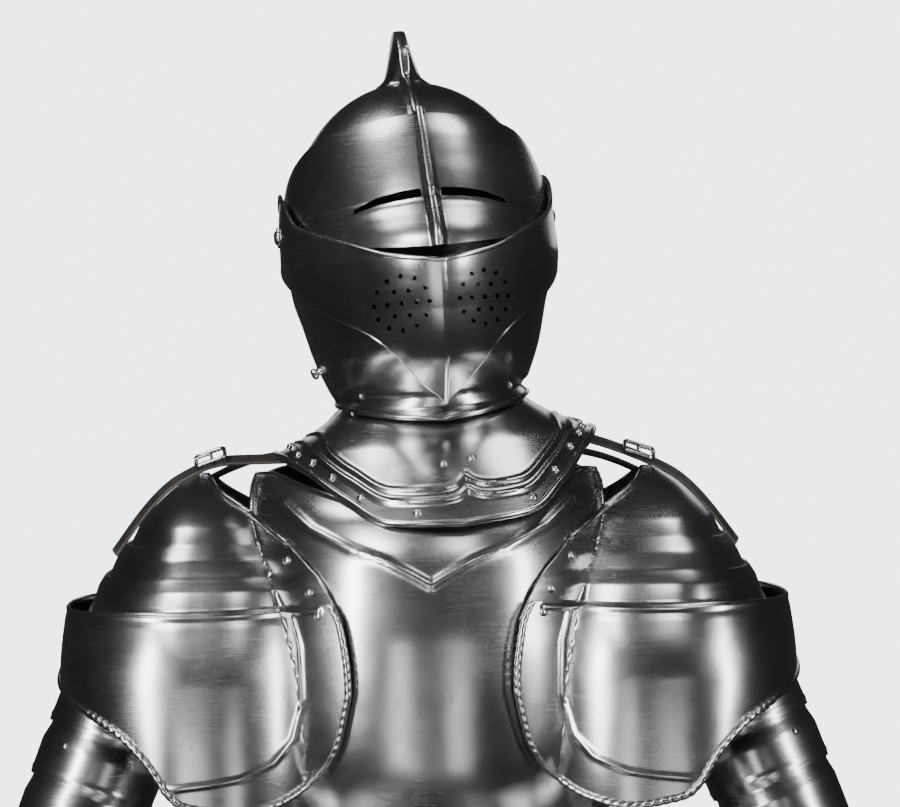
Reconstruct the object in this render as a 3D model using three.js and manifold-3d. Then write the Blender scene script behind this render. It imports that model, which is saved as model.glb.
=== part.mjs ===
// Suit of plate armour at life size, standing on its own soles.
// Millimetres, +Z up, front facing -Y, origin on the floor under the middle of the suit.
import * as THREE from 'three';
import Module from 'manifold-3d';

const wasm = await Module();
wasm.setup();

// Driving dimensions
const WALL = 1.6;
const GAP = 0.6;
const STEP = WALL + GAP;
const SEAT = 0.4;

const PIVOT_Z = 1673;
const SKULL_HALF_WIDTH = 108;
const SKULL_RADIUS = 124;
const HELMET_STEP = 3;
const NECK_Z = 1500;
const HEAD_TURN = 5;
const HEAD_TILT = 4;
const HEAD_SHIFT = 7;
const SIGHT_Z = 1685;
const SIGHT_HEIGHT = 7.5;
const BREATH_RADIUS = 2;

const SHOULDER = new THREE.Vector3(212, 0, 1392);
const ELBOW = new THREE.Vector3(325, -50, 1105);
const WRIST = new THREE.Vector3(120, -215, 1085);
const COUTER_RADIUS = 66.9;
const PAULDRON_X = 188;

const THIGH_X = 102;
const KNEE_Z = 515;
const ANKLE_Y = 6;
const SOLE_THICKNESS = 3;
const STRAP_WIDTH = 20;
const STRAP_THICKNESS = 2.5;

const steel = new THREE.MeshStandardMaterial({ color: 0xb4b4b6, roughness: 0.28, metalness: 1 });
const leather = new THREE.MeshStandardMaterial({ color: 0x1c1815, roughness: 0.6, metalness: 0 });

const suit = new THREE.Group();

// Tables: a row for each section, with named columns
function table(columns, rows) {
  return rows.map((row) => Object.fromEntries(columns.map((name, i) => [name, row[i]])));
}

// Smooth value of one column at a place along another, without overshoot.
function along(rows, key, column, place) {
  const last = rows.length - 1;
  if (place <= rows[0][key]) return rows[0][column];
  if (place >= rows[last][key]) return rows[last][column];
  let i = 0;
  while (place > rows[i + 1][key]) i += 1;
  const slope = (a, b) => (rows[b][column] - rows[a][column]) / (rows[b][key] - rows[a][key]);
  const tangent = (k) => {
    if (k === 0) return slope(0, 1);
    if (k === last) return slope(last - 1, last);
    const before = slope(k - 1, k);
    const after = slope(k, k + 1);
    return before * after <= 0 ? 0 : (2 * before * after) / (before + after);
  };
  const span = rows[i + 1][key] - rows[i][key];
  const t = (place - rows[i][key]) / span;
  const start = rows[i][column];
  const end = rows[i + 1][column];
  const rise = t * t * (3 - 2 * t);
  const leave = t * (1 - t) * (1 - t) * span * tangent(i);
  const arrive = t * t * (t - 1) * span * tangent(i + 1);
  return start + (end - start) * rise + leave + arrive;
}

const SECTION = ['z', 'halfWidth', 'front', 'back'];

// A form is a stack of flat sections: half width, depth to the front and depth to the back at each height.
function formOf(rows, { x = 0, y = 0, square = 2 } = {}) {
  return (z) => ({
    x,
    y,
    square,
    halfWidth: along(rows, 'z', 'halfWidth', z),
    front: along(rows, 'z', 'front', z),
    back: along(rows, 'z', 'back', z),
  });
}

// The same form, larger or smaller all round.
function grown(form, by) {
  return (z) => {
    const section = form(z);
    return {
      ...section,
      halfWidth: section.halfWidth + by,
      front: section.front + by,
      back: section.back + by,
    };
  };
}

const radians = THREE.MathUtils.degToRad;

// Point of a section at an angle: 0 is the front (-Y), 90 is +X, 180 is the back.
function sectionPoint(section, angle, z) {
  const s = Math.sin(radians(angle));
  const c = Math.cos(radians(angle));
  const power = 2 / section.square;
  const depth = c > 0 ? section.front : section.back;
  const halfWidth = s < 0 ? section.inner ?? section.halfWidth : section.halfWidth;
  return new THREE.Vector3(
    section.x + halfWidth * Math.sign(s) * Math.abs(s) ** power,
    section.y - depth * Math.sign(c) * Math.abs(c) ** power,
    z,
  );
}

function spread(from, to, count) {
  return Array.from({ length: count + 1 }, (_, i) => from + ((to - from) * i) / count);
}

// Joins equal points, so a grid that closes on itself or ends in a point is one sheet.
function joined(points, faces) {
  const seen = new Map();
  const vertices = [];
  const place = points.map((p) => {
    const key = p.toArray().map((n) => Math.round(n * 1000)).join(',');
    if (!seen.has(key)) {
      seen.set(key, vertices.length);
      vertices.push(p);
    }
    return seen.get(key);
  });
  const triangles = faces
    .map((face) => face.map((i) => place[i]))
    .filter(([a, b, c]) => a !== b && b !== c && c !== a);
  return { vertices, triangles };
}

function gridSheet(grid, closed) {
  const across = grid[0].length;
  const faces = [];
  for (let j = 0; j < grid.length - 1; j += 1) {
    for (let i = 0; i < (closed ? across : across - 1); i += 1) {
      const next = (i + 1) % across;
      const a = j * across + i;
      const b = j * across + next;
      const c = (j + 1) * across + next;
      const d = (j + 1) * across + i;
      faces.push([a, b, c], [a, c, d]);
    }
  }
  return joined(grid.flat(), faces);
}

function vertexNormals({ vertices, triangles }) {
  const normals = vertices.map(() => new THREE.Vector3());
  for (const [a, b, c] of triangles) {
    const side = vertices[b].clone().sub(vertices[a]);
    const face = side.cross(vertices[c].clone().sub(vertices[a]));
    for (const i of [a, b, c]) normals[i].add(face);
  }
  return normals.map((n) => n.normalize());
}

// Gives a sheet its wall, inwards, with a strip along every free edge.
function thicken(sheet, wall = WALL) {
  const { vertices, triangles } = sheet;
  const normals = vertexNormals(sheet);
  const count = vertices.length;
  const inner = vertices.map((p, i) => p.clone().addScaledVector(normals[i], -wall));
  const faces = [...triangles, ...triangles.map(([a, b, c]) => [a + count, c + count, b + count])];
  const edges = new Set();
  for (const [a, b, c] of triangles) {
    for (const [from, to] of [[a, b], [b, c], [c, a]]) edges.add(`${from}_${to}`);
  }
  for (const edge of edges) {
    const [from, to] = edge.split('_').map(Number);
    if (!edges.has(`${to}_${from}`)) {
      faces.push([to, from, from + count], [to, from + count, to + count]);
    }
  }
  return { vertices: [...vertices, ...inner], triangles: faces };
}

// A closed solid through rings of points, with flat ends.
function loft(rings) {
  const size = rings[0].length;
  const faces = [];
  for (let j = 0; j < rings.length - 1; j += 1) {
    for (let i = 0; i < size; i += 1) {
      const next = (i + 1) % size;
      const a = j * size;
      const b = (j + 1) * size;
      faces.push([a + i, a + next, b + next], [a + i, b + next, b + i]);
    }
  }
  const end = (rings.length - 1) * size;
  for (let i = 1; i < size - 1; i += 1) {
    faces.push([0, i + 1, i], [end, end + i, end + i + 1]);
  }
  return joined(rings.flat(), faces);
}

function signedVolume({ vertices, triangles }) {
  return triangles.reduce(
    (sum, [a, b, c]) => sum + vertices[a].dot(vertices[b].clone().cross(vertices[c])) / 6,
    0,
  );
}

function outwards(body) {
  if (signedVolume(body) > 0) return body;
  return { vertices: body.vertices, triangles: body.triangles.map(([a, b, c]) => [a, c, b]) };
}

function toManifold(body) {
  const { vertices, triangles } = outwards(body);
  const mesh = new wasm.Mesh({
    numProp: 3,
    vertProperties: new Float32Array(vertices.flatMap((p) => p.toArray())),
    triVerts: new Uint32Array(triangles.flat()),
  });
  return new wasm.Manifold(mesh);
}

function fromManifold(manifold) {
  const mesh = manifold.getMesh();
  const vertices = [];
  for (let i = 0; i < mesh.vertProperties.length; i += mesh.numProp) {
    vertices.push(new THREE.Vector3(...mesh.vertProperties.slice(i, i + 3)));
  }
  const triangles = [];
  for (let i = 0; i < mesh.triVerts.length; i += 3) {
    triangles.push([...mesh.triVerts.slice(i, i + 3)]);
  }
  return { vertices, triangles };
}

function addPart(group, name, body, material = steel) {
  const { vertices, triangles } = outwards(body);
  const geometry = new THREE.BufferGeometry();
  const positions = vertices.flatMap((p) => p.toArray());
  geometry.setAttribute('position', new THREE.Float32BufferAttribute(positions, 3));
  geometry.setIndex(triangles.flat());
  geometry.computeVertexNormals();
  const mesh = new THREE.Mesh(geometry, material);
  mesh.name = name;
  group.add(mesh);
  return mesh;
}

// A plate is a patch of a form between two edges. Its reach is how far each of its sides goes round the form
// from the middle, settle moves a point clear of a neighbour, and push moves the metal out from the form.
function plateSheet({
  form, columns, rows, lower, upper, middle = 0, reach = () => 1, push = () => 0, settle = (p) => p,
  closed = false,
}) {
  const levels = Array.isArray(rows) ? rows : spread(0, 1, rows);
  const grid = levels.map((v) => columns.map((u) => {
    const z = lower(u) + (upper(u) - lower(u)) * v;
    const point = sectionPoint(form(z), middle + u * reach(z), z);
    return Object.assign(settle(point), { u, v });
  }));
  const sheet = gridSheet(grid, closed);
  const normals = vertexNormals(sheet);
  const vertices = sheet.vertices.map((p, i) => p.clone().addScaledVector(normals[i], push(p.u, p.z, p.v)));
  return { vertices, triangles: sheet.triangles };
}

function plate(options) {
  return thicken(plateSheet(options), options.wall);
}

const level = (z) => () => z;

// Columns of a closed tube, as angles from the front.
function roundColumns(count) {
  return spread(-180, 180, count).slice(0, -1);
}

// A margin sinks below the plate that covers it, over this height from the covering plate's edge.
const TUCK = { start: 15, end: 3, depth: 1.15 * STEP };

function tuckedUnder(edge, depth = TUCK.depth) {
  return (u, z) => -depth * THREE.MathUtils.clamp((z - edge + TUCK.start) / (TUCK.start - TUCK.end), 0, 1);
}

function tuckedOver(edge, depth = TUCK.depth) {
  return (u, z) => -depth * THREE.MathUtils.clamp((edge + TUCK.start - z) / (TUCK.start - TUCK.end), 0, 1);
}

function shares(bottom, top, heights) {
  return [0, ...heights.map((z) => (z - bottom) / (top - bottom)), 1];
}

// Head: every plate above the pivots is round about the line through them, so that it turns over the next

const helmetGroup = new THREE.Group();
helmetGroup.position.set(HEAD_SHIFT, 0, NECK_Z);
helmetGroup.rotation.set(0, radians(-HEAD_TILT), radians(HEAD_TURN));
const head = new THREE.Group();
head.position.set(0, 0, -NECK_Z);
helmetGroup.add(head);
suit.add(helmetGroup);

const HELMET_LOWER = table(SECTION, [
  [1500, 84, 96, 90],
  [1526, 77, 96, 84],
  [1540, 83, 110, 90],
  [1566, 93, 135, 104],
  [1597, 101, 147, 117],
  [1620, 107, 149, 122],
  [1641, 109, 146, 124],
  [PIVOT_Z, SKULL_HALF_WIDTH, SKULL_RADIUS, SKULL_RADIUS],
]);

function skullForm(z) {
  if (z < PIVOT_Z) return formOf(HELMET_LOWER)(z);
  const rise = Math.min(1, (z - PIVOT_Z) / SKULL_RADIUS);
  const scale = Math.sqrt(1 - rise * rise);
  const depth = SKULL_RADIUS * scale;
  return { x: 0, y: 0, square: 2, halfWidth: SKULL_HALF_WIDTH * scale, front: depth, back: depth };
}

const SKULL_EDGE = table(['angle', 'z'], [
  [0, 1737], [45, 1732], [66, 1705], [84, 1650], [102, 1570], [125, 1530], [180, 1526],
]);

function crownRows(count) {
  return spread(0, 1, count).map((v) => Math.sin((v * Math.PI) / 2));
}

const skullShell = plate({
  form: skullForm,
  columns: roundColumns(20),
  rows: crownRows(7),
  lower: (angle) => along(SKULL_EDGE, 'angle', 'z', Math.abs(angle)),
  upper: level(PIVOT_Z + SKULL_RADIUS),
  closed: true,
});

// The comb is a hollow fin along the crown, from a low ridge at the brow, with its angle from the front.
const COMB = table(['angle', 'height', 'halfBase', 'halfTop'], [
  [39, 1.5, 4, 3], [60, 4, 4.5, 3], [76, 5, 5, 3], [80, 30, 11, 3.5], [92, 46, 15, 4],
  [115, 40, 14, 4], [140, 26, 11, 3.5], [165, 8, 7, 3],
]);

function combRing(angle, shrink, root) {
  const height = along(COMB, 'angle', 'height', angle) - shrink;
  const halfBase = along(COMB, 'angle', 'halfBase', angle) - shrink;
  const halfTop = along(COMB, 'angle', 'halfTop', angle) - shrink;
  const away = new THREE.Vector3(0, -Math.cos(radians(angle)), Math.sin(radians(angle)));
  const at = (x, radius) => new THREE.Vector3(x, 0, PIVOT_Z).addScaledVector(away, radius);
  const bottom = SKULL_RADIUS - root;
  const top = SKULL_RADIUS + height;
  return [at(-halfBase, bottom), at(halfBase, bottom), at(halfTop, top), at(-halfTop, top)];
}

const combAngles = [39, 50, 60, 68, 76, 80, 86, 92, 103, 115, 127, 140, 152, 165];
const hollowAngles = [82, 92, 103, 115, 127, 138];
const comb = toManifold(loft(combAngles.map((angle) => combRing(angle, 0, WALL * 0.6))));
const combHollow = toManifold(loft(hollowAngles.map((angle) => combRing(angle, WALL, 3 * WALL))));
addPart(head, 'helmet_skull', fromManifold(toManifold(skullShell).add(comb).subtract(combHollow)));

// Face plates, from the inside: lower bevor, visor, upper bevor. The two bevors share their lower form.
const FACE = table(['z', 'front'], [
  [1500, 98], [1526, 99], [1540, 114], [1566, 141], [1597, 156], [1620, 163], [1640, 166], [1673, 150],
  [1705, 132],
]);

function bevorForm(z) {
  return { ...skullForm(z), front: along(FACE, 'z', 'front', z) };
}

function crease(height, halfAngle) {
  return (angle) => height * Math.max(0, 1 - Math.abs(angle) / halfAngle) ** 1.5;
}

const bevorCrease = crease(7, 55);

const BEVOR_COLUMNS = [-104, -91, -78, -65, -52, -40, -30, -20, -10, 0, 10, 20, 30, 40, 52, 65, 78, 91, 104];
const LOWER_BEVOR_TOP = table(['angle', 'z'], [[0, 1618], [60, 1640], [90, 1690], [112, 1668]]);

addPart(head, 'lower_bevor', plate({
  form: bevorForm,
  columns: [-112, ...BEVOR_COLUMNS, 112],
  rows: 5,
  lower: (angle) => 1527 + 4 * Math.abs(angle / 90) ** 2,
  upper: (angle) => along(LOWER_BEVOR_TOP, 'angle', 'z', Math.abs(angle)),
  push: (angle) => HELMET_STEP + bevorCrease(angle),
}));

const UPPER_BEVOR_TOP = table(['angle', 'z'], [
  [0, 1634], [20, 1640], [40, 1653], [62, 1672], [78, 1697], [92, 1706], [104, 1694],
]);
const UPPER_BEVOR_FOOT = table(['angle', 'z'], [
  [0, 1534], [10, 1546], [30, 1578], [52, 1600], [78, 1628], [104, 1655],
]);

// How many plate layers the upper bevor lies outside the skull's form, at its foot and at its rim.
const UPPER_BEVOR_LAYERS = { low: 2.5, high: 3.3 };

const upperBevor = toManifold(plate({
  form: bevorForm,
  columns: BEVOR_COLUMNS,
  rows: 5,
  lower: (angle) => along(UPPER_BEVOR_FOOT, 'angle', 'z', Math.abs(angle)),
  upper: (angle) => along(UPPER_BEVOR_TOP, 'angle', 'z', Math.abs(angle)),
  push: (angle, z) => {
    const share = THREE.MathUtils.clamp((z - 1600) / 40, 0, 1);
    const layers = THREE.MathUtils.lerp(UPPER_BEVOR_LAYERS.low, UPPER_BEVOR_LAYERS.high, share);
    return layers * HELMET_STEP + bevorCrease(angle);
  },
}));

// Breaths: on each side one hole, a ring of six and a ring of twelve.
const BREATH_RINGS = table(['count', 'radius'], [[1, 0], [6, 11], [12, 21]]);
const BREATH_CENTRE = { x: 33, z: 1601 };
const BREATH_DEPTH = 60;
const FORWARD = 150;

function breathDrill(x, z) {
  const ring = (y) => spread(0, 360, 6).slice(0, -1).map((angle) => new THREE.Vector3(
    x + BREATH_RADIUS * Math.cos(radians(angle)),
    y,
    z + BREATH_RADIUS * Math.sin(radians(angle)),
  ));
  return toManifold(loft([ring(-FORWARD + BREATH_DEPTH / 2), ring(-FORWARD - BREATH_DEPTH / 2)]));
}

let pierced = upperBevor;
for (const side of [-1, 1]) {
  for (const { count, radius } of BREATH_RINGS) {
    for (const angle of spread(0, 360, count).slice(0, -1)) {
      const x = side * (BREATH_CENTRE.x + radius * Math.cos(radians(angle)));
      const z = BREATH_CENTRE.z + radius * Math.sin(radians(angle));
      pierced = pierced.subtract(breathDrill(x, z));
    }
  }
}
addPart(head, 'upper_bevor', fromManifold(pierced));

const VISOR_FRONT = table(['z', 'front'], [
  [1640, 161], [1650, 158], [1665, 148], [1680, 136], [1692, 130], [1703, 125], [1712, 122],
]);

function visorForm(z) {
  const section = skullForm(z);
  const front = z < 1712 ? along(VISOR_FRONT, 'z', 'front', z) : section.front;
  return { ...section, front };
}

const VISOR_TOP = table(['angle', 'z'], [
  [0, 1752], [30, 1750], [60, 1743], [78, 1728], [90, 1712], [102, 1694],
]);
const VISOR_FOOT = table(['angle', 'z'], [[0, 1637], [30, 1643], [60, 1655], [84, 1664], [102, 1660]]);
const KEEL = { height: 7, halfAngle: 3.2, slopeAngle: 2.2 };

const visorShell = toManifold(plate({
  form: visorForm,
  columns: [
    -102, -90, -76, -62, -48, -36, -24, -12, -KEEL.halfAngle, -1,
    1, KEEL.halfAngle, 12, 24, 36, 48, 62, 76, 90, 102,
  ],
  rows: 6,
  lower: (angle) => along(VISOR_FOOT, 'angle', 'z', Math.abs(angle)),
  upper: (angle) => along(VISOR_TOP, 'angle', 'z', Math.abs(angle)),
  push: (angle) => {
    const onKeel = THREE.MathUtils.clamp((KEEL.halfAngle - Math.abs(angle)) / KEEL.slopeAngle, 0, 1);
    return 2 * HELMET_STEP + KEEL.height * onKeel + crease(4, 40)(angle);
  },
}));

// Sights: one slit each side of the keel, deepest beside it and narrowing to its outer end.
const SIGHT = table(['x', 'height', 'lift'], [
  [8, SIGHT_HEIGHT, 4], [24, SIGHT_HEIGHT, 3], [44, SIGHT_HEIGHT - 1, 0], [62, SIGHT_HEIGHT - 4, -6],
]);

function sightCutter(side) {
  return toManifold(loft(SIGHT.map(({ x, height, lift }) => {
    const at = (y, z) => new THREE.Vector3(side * x, y, SIGHT_Z + lift + z);
    return [at(-70, -height / 2), at(-190, -height / 2), at(-190, height / 2), at(-70, height / 2)];
  })));
}
addPart(head, 'visor', fromManifold(visorShell.subtract(sightCutter(-1)).subtract(sightCutter(1))));

// Neck lames turn out over the gorget's collar.
const NECK = table(SECTION, [
  [1500, 108, 107, 106], [1510, 97, 101, 98], [1518, 88, 97, 90], [1526, 79.6, 97, 83.5],
  [1534, 76.8, 100, 80.5],
]);
const NECK_FRONT_RIM = table(['angle', 'z'], [[0, 1503], [25, 1508], [60, 1517], [95, 1522]]);

const NECK_TOP = 1533;
const NECK_FRONT_CLEARANCE = 0.3;
const NECK_BACK_INSET = STEP + SEAT;

addPart(head, 'neck_lame_front', plate({
  form: formOf(NECK),
  columns: spread(-94, 94, 14),
  rows: 3,
  lower: (angle) => along(NECK_FRONT_RIM, 'angle', 'z', Math.abs(angle)),
  upper: level(NECK_TOP),
  push: () => NECK_FRONT_CLEARANCE,
}));
addPart(head, 'neck_lame_back', plate({
  form: grown(formOf(NECK), -NECK_BACK_INSET),
  columns: spread(-81, 81, 10),
  rows: 2,
  middle: 180,
  lower: level(1512),
  upper: level(NECK_TOP),
}));

const PIVOT_HEAD = { radius: 9, edge: 1.5, height: 4 };

for (const side of [-1, 1]) {
  const inner = SKULL_HALF_WIDTH + UPPER_BEVOR_LAYERS.high * HELMET_STEP + SEAT;
  const ring = (x, radius) => spread(0, 360, 10).slice(0, -1).map((angle) => new THREE.Vector3(
    side * x,
    radius * Math.cos(radians(angle)),
    PIVOT_Z + radius * Math.sin(radians(angle)),
  ));
  const name = side < 0 ? 'temple_pivot_right' : 'temple_pivot_left';
  const { radius, edge, height } = PIVOT_HEAD;
  const rings = [ring(inner, radius), ring(inner + edge, radius), ring(inner + height, radius / 2)];
  addPart(head, name, loft(rings));
}

// Gorget
const GORGET_BACK_INSET = STEP + GAP;
const GORGET = table(SECTION, [
  [1400, 175, 180, 152], [1424, 165, 164, 140], [1450, 152, 145, 126], [1486, 133, 115, 108],
  [1506, 101, 98, 93], [1518, 83.5, 92, 84], [1526, 75.5, 89, 77], [1545, 72, 87, 74],
]);
const GORGET_RIM = table(['angle', 'z'], [
  [0, 1424], [20, 1429], [33, 1448], [53, 1474], [75, 1486], [92, 1488],
]);
const GORGET_COLLAR = table(['angle', 'z'], [[0, 1512], [25, 1518], [60, 1526], [92, 1530]]);

addPart(head, 'gorget_front', plate({
  form: formOf(GORGET),
  columns: spread(-92, 92, 18),
  rows: 4,
  lower: (angle) => along(GORGET_RIM, 'angle', 'z', Math.abs(angle)),
  upper: (angle) => along(GORGET_COLLAR, 'angle', 'z', Math.abs(angle)),
}));
addPart(head, 'gorget_back', plate({
  form: formOf(GORGET),
  columns: spread(-90, 90, 12),
  rows: 3,
  middle: 180,
  lower: (angle) => 1470 + 20 * Math.min(1, (angle / 70) ** 2),
  upper: level(1528),
  push: () => -GORGET_BACK_INSET,
}));

// Cuirass
const TORSO = table(SECTION, [
  [1080, 136, 122, 108], [1110, 137, 126, 108], [1160, 150, 148, 114], [1250, 170, 172, 126],
  [1330, 174, 176, 134], [1390, 166, 168, 132], [1424, 160, 153, 122], [1448, 153, 129, 108],
  [1464, 144, 94, 76],
]);
const torsoForm = formOf(TORSO, { square: 2.2 });
const ARM_OPENING = table(['z', 'reach'], [
  [1080, 89.92], [1180, 89.92], [1250, 76], [1330, 62], [1400, 60], [1440, 68], [1464, 80],
]);

const BREAST_TOP = table(['u', 'z'], [[0, 1435], [0.3, 1441], [0.5, 1451], [0.8, 1463], [1, 1462]]);

addPart(suit, 'breastplate', plate({
  form: torsoForm,
  columns: spread(-1, 1, 14),
  rows: [0, 0.2, 0.4, 0.6, 0.75, 0.85, 0.93, 1],
  lower: level(1082),
  upper: (u) => along(BREAST_TOP, 'u', 'z', Math.abs(u)),
  reach: (z) => along(ARM_OPENING, 'z', 'reach', z),
}));
addPart(suit, 'backplate', plate({
  form: torsoForm,
  columns: spread(-1, 1, 12),
  rows: 5,
  middle: 180,
  lower: level(1084),
  upper: (u) => 1475 - 18 * u * u,
  reach: (z) => along(ARM_OPENING, 'z', 'reach', z),
}));

const HIPS = table(SECTION, [
  [760, 187, 160, 150], [860, 190, 172, 158], [955, 186, 168, 160], [1000, 170, 158, 146],
  [1050, 149, 137, 125], [1080, 137, 123, 107], [1100, 131, 117, 101],
]);
const hipForm = formOf(HIPS, { square: 2.2 });
const FAULD = table(['name', 'bottom', 'cover', 'top'], [
  ['fauld_lame_1', 1052, 1082, 1098],
  ['fauld_lame_2', 1006, 1052, 1062],
  ['fauld_lame_3', 958, 1006, 1016],
]);
const CULET = { bottom: 985, cover: 1084, top: 1098 };

for (const { name, bottom, cover, top } of FAULD) {
  addPart(suit, name, plate({
    form: hipForm,
    columns: spread(-89.9, 89.9, 12),
    rows: shares(bottom, top, [cover - TUCK.start, cover - TUCK.end]),
    lower: level(bottom),
    upper: level(top),
    push: tuckedUnder(cover),
  }));
}
addPart(suit, 'culet', plate({
  form: hipForm,
  columns: spread(-89.5, 89.5, 12),
  rows: shares(CULET.bottom, CULET.top, [1030, CULET.cover - TUCK.start, CULET.cover - TUCK.end]),
  middle: 180,
  lower: level(CULET.bottom),
  upper: level(CULET.top),
  push: tuckedUnder(CULET.cover),
}));

// Left half: its mirror image is the right half
const CUISSE = table(SECTION, [
  [540, 66, 70, 66], [640, 70, 78, 74], [760, 76, 88, 82], [840, 85.4, 96.8, 88],
]);
const POLEYN = table(SECTION, [
  [448, 63.4, 65.4, 64.4], [480, 73, 78, 70], [KNEE_Z, 79, 92, 74], [548, 75, 84, 72],
  [582, 70.3, 74.4, 70.3],
]);
const GREAVE = table(SECTION, [
  [3, 40, 46, 52], [60, 42, 50, 52], [110, 43, 50, 50], [180, 48, 50, 54], [300, 60, 58, 72],
  [380, 64, 62, 74], [465, 61, 63, 62],
]);
const GREAVE_FOOT = table(['angle', 'z'], [
  [0, 92], [50, 58], [80, 18], [100, 3.4], [180, 3.4],
]);
const SABATON = table(SECTION, [
  [56.8, 50, 90, 50], [80, 52, 76, 50], [120, 54, 58, 50], [165, 52, 47, 50], [195, 42, 38, 50],
  [212, 22, 24, 50], [217, 0, 0, 50],
]);
const SOLE = { y: -74, halfLength: 138, halfWidth: 56, square: 2.6 };

// A frame at an origin, with +Z along an axis and its front turned to face a direction.
function frameAt(origin, axis, facing) {
  const z = axis.clone().normalize();
  const y = facing.clone().addScaledVector(z, -facing.dot(z)).normalize().negate();
  const x = y.clone().cross(z);
  const group = new THREE.Group();
  group.position.copy(origin);
  group.quaternion.setFromRotationMatrix(new THREE.Matrix4().makeBasis(x, y, z));
  return group;
}

const TASSET = { bottom: 775, cover: 957, top: 972, depth: 1.95 * STEP };

function addLeg(group, sideName) {
  addPart(group, `tasset_${sideName}`, plate({
    form: hipForm,
    columns: spread(4, 90, 8),
    rows: shares(TASSET.bottom, TASSET.top, [860, TASSET.cover - 14, TASSET.cover - TUCK.end]),
    lower: level(TASSET.bottom),
    upper: level(TASSET.top),
    push: tuckedUnder(TASSET.cover, TASSET.depth),
  }));
  addPart(group, `cuisse_${sideName}`, plate({
    form: formOf(CUISSE, { x: THIGH_X }),
    columns: spread(-108, 108, 12),
    rows: 3,
    lower: level(552),
    upper: (angle) => 872 - 0.004 * angle * angle,
  }));
  addPart(group, `poleyn_${sideName}`, plate({
    form: formOf(POLEYN, { x: THIGH_X }),
    columns: spread(-108, 108, 12),
    rows: 5,
    lower: level(450),
    upper: level(580),
  }));
  addPart(group, `greave_${sideName}`, plate({
    form: formOf(GREAVE, { x: THIGH_X }),
    columns: roundColumns(12),
    rows: 5,
    lower: (angle) => along(GREAVE_FOOT, 'angle', 'z', Math.abs(angle)),
    upper: level(465),
    closed: true,
  }));
  const foot = frameAt(
    new THREE.Vector3(THIGH_X, ANKLE_Y, SOLE_THICKNESS + SEAT),
    new THREE.Vector3(0, -1, 0),
    new THREE.Vector3(0, 0, 1),
  );
  group.add(foot);
  addPart(foot, `sabaton_${sideName}`, plate({
    form: formOf(SABATON),
    columns: spread(-90, 90, 10),
    rows: [0, 0.25, 0.55, 0.8, 0.95, 1],
    lower: level(56.8),
    upper: level(217),
  }));
  const outline = (z) => roundColumns(20).map((angle) => sectionPoint({
    x: THIGH_X,
    y: SOLE.y,
    square: SOLE.square,
    halfWidth: SOLE.halfWidth,
    front: SOLE.halfLength,
    back: SOLE.halfLength,
  }, angle, z));
  addPart(group, `sole_${sideName}`, loft([outline(0), outline(SOLE_THICKNESS)]), leather);
}

// Pauldrons: the cap and two lames tuck under the plate below them, down to the main plate with its wings
const PAULDRON = table([...SECTION, 'inner'], [
  [1345, 109, 164, 120, 134], [1378, 92, 142, 108, 116], [1405, 74, 116, 94, 96],
  [1430, 54, 86, 74, 70], [1450, 32, 48, 44, 42], [1464, 8, 10, 10, 8],
]);
// The main plate's wing stands out past the lames at its outer side.
const WING = table([...SECTION, 'inner'], [
  [1180, 104, 176, 112, 134], [1240, 118, 180, 122, 140], [1300, 127, 178, 126, 140],
  [1345, 123, 164, 120, 134], [1378, 112, 142, 108, 116],
]);
const PAULDRON_REACH = table(['z', 'reach'], [
  [1180, 152], [1300, 152], [1370, 150], [1405, 142], [1420, 133], [1436, 119], [1450, 104], [1464, 95],
]);
const MAIN_PLATE_EDGE = table(['u', 'z'], [
  [-1, 1292], [-0.93, 1246], [-0.85, 1223], [-0.75, 1207], [-0.66, 1202], [-0.57, 1210], [-0.49, 1246],
  [-0.42, 1266], [-0.31, 1280], [-0.2, 1288], [-0.06, 1298], [0.04, 1306], [0.14, 1300], [0.33, 1262],
  [0.5, 1238], [0.65, 1230], [0.8, 1240], [0.92, 1262], [1, 1300],
]);
const PAULDRON_LAMES = table(['name', 'bottom', 'cover', 'top'], [
  ['pauldron_cap', 1398, 1407, 1464],
  ['pauldron_lame_1', 1373, 1382, 1407],
  ['pauldron_lame_2', 1349, 1358, 1382],
]);
const CHEST_CLEARANCE = 8.5;

function shoulderForm(rows) {
  return (z) => ({ ...formOf(rows, { x: PAULDRON_X, square: 2.4 })(z), inner: along(rows, 'z', 'inner', z) });
}

const pauldronForm = shoulderForm(PAULDRON);

// Keeps a point of the pauldron outside the breastplate and the backplate.
function clearOfTorso(point) {
  const section = torsoForm(point.z);
  const share = Math.abs(point.x) / section.halfWidth;
  if (share >= 1) return point;
  const part = (1 - share ** section.square) ** (1 / section.square);
  const depth = point.y < 0 ? section.front : section.back;
  const limit = depth * part + CHEST_CLEARANCE;
  if (Math.abs(point.y) < limit) point.setY(Math.sign(point.y) * limit);
  return point;
}

const pauldronReach = (z) => along(PAULDRON_REACH, 'z', 'reach', z);

function addPauldron(group, sideName) {
  for (const { name, bottom, cover, top } of PAULDRON_LAMES) {
    const crown = name === 'pauldron_cap' ? [1436, 1452] : [];
    addPart(group, `${name}_${sideName}`, plate({
      form: pauldronForm,
      columns: spread(-1, 1, 18),
      rows: shares(bottom, top, [cover + TUCK.end, Math.min(cover + TUCK.start, top - 2), ...crown]),
      middle: 90,
      reach: pauldronReach,
      lower: level(bottom),
      upper: level(top),
      push: tuckedOver(cover, 1.3 * STEP),
      settle: clearOfTorso,
    }));
  }
  addPart(group, `pauldron_main_${sideName}`, plate({
    form: shoulderForm(WING),
    columns: spread(-1, 1, 18),
    rows: [0, 0.25, 0.5, 0.75, 0.92, 1],
    middle: 90,
    reach: pauldronReach,
    lower: (u) => along(MAIN_PLATE_EDGE, 'u', 'z', u),
    upper: (u) => 1357 + 6 * u * u,
    settle: clearOfTorso,
  }));
}

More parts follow.
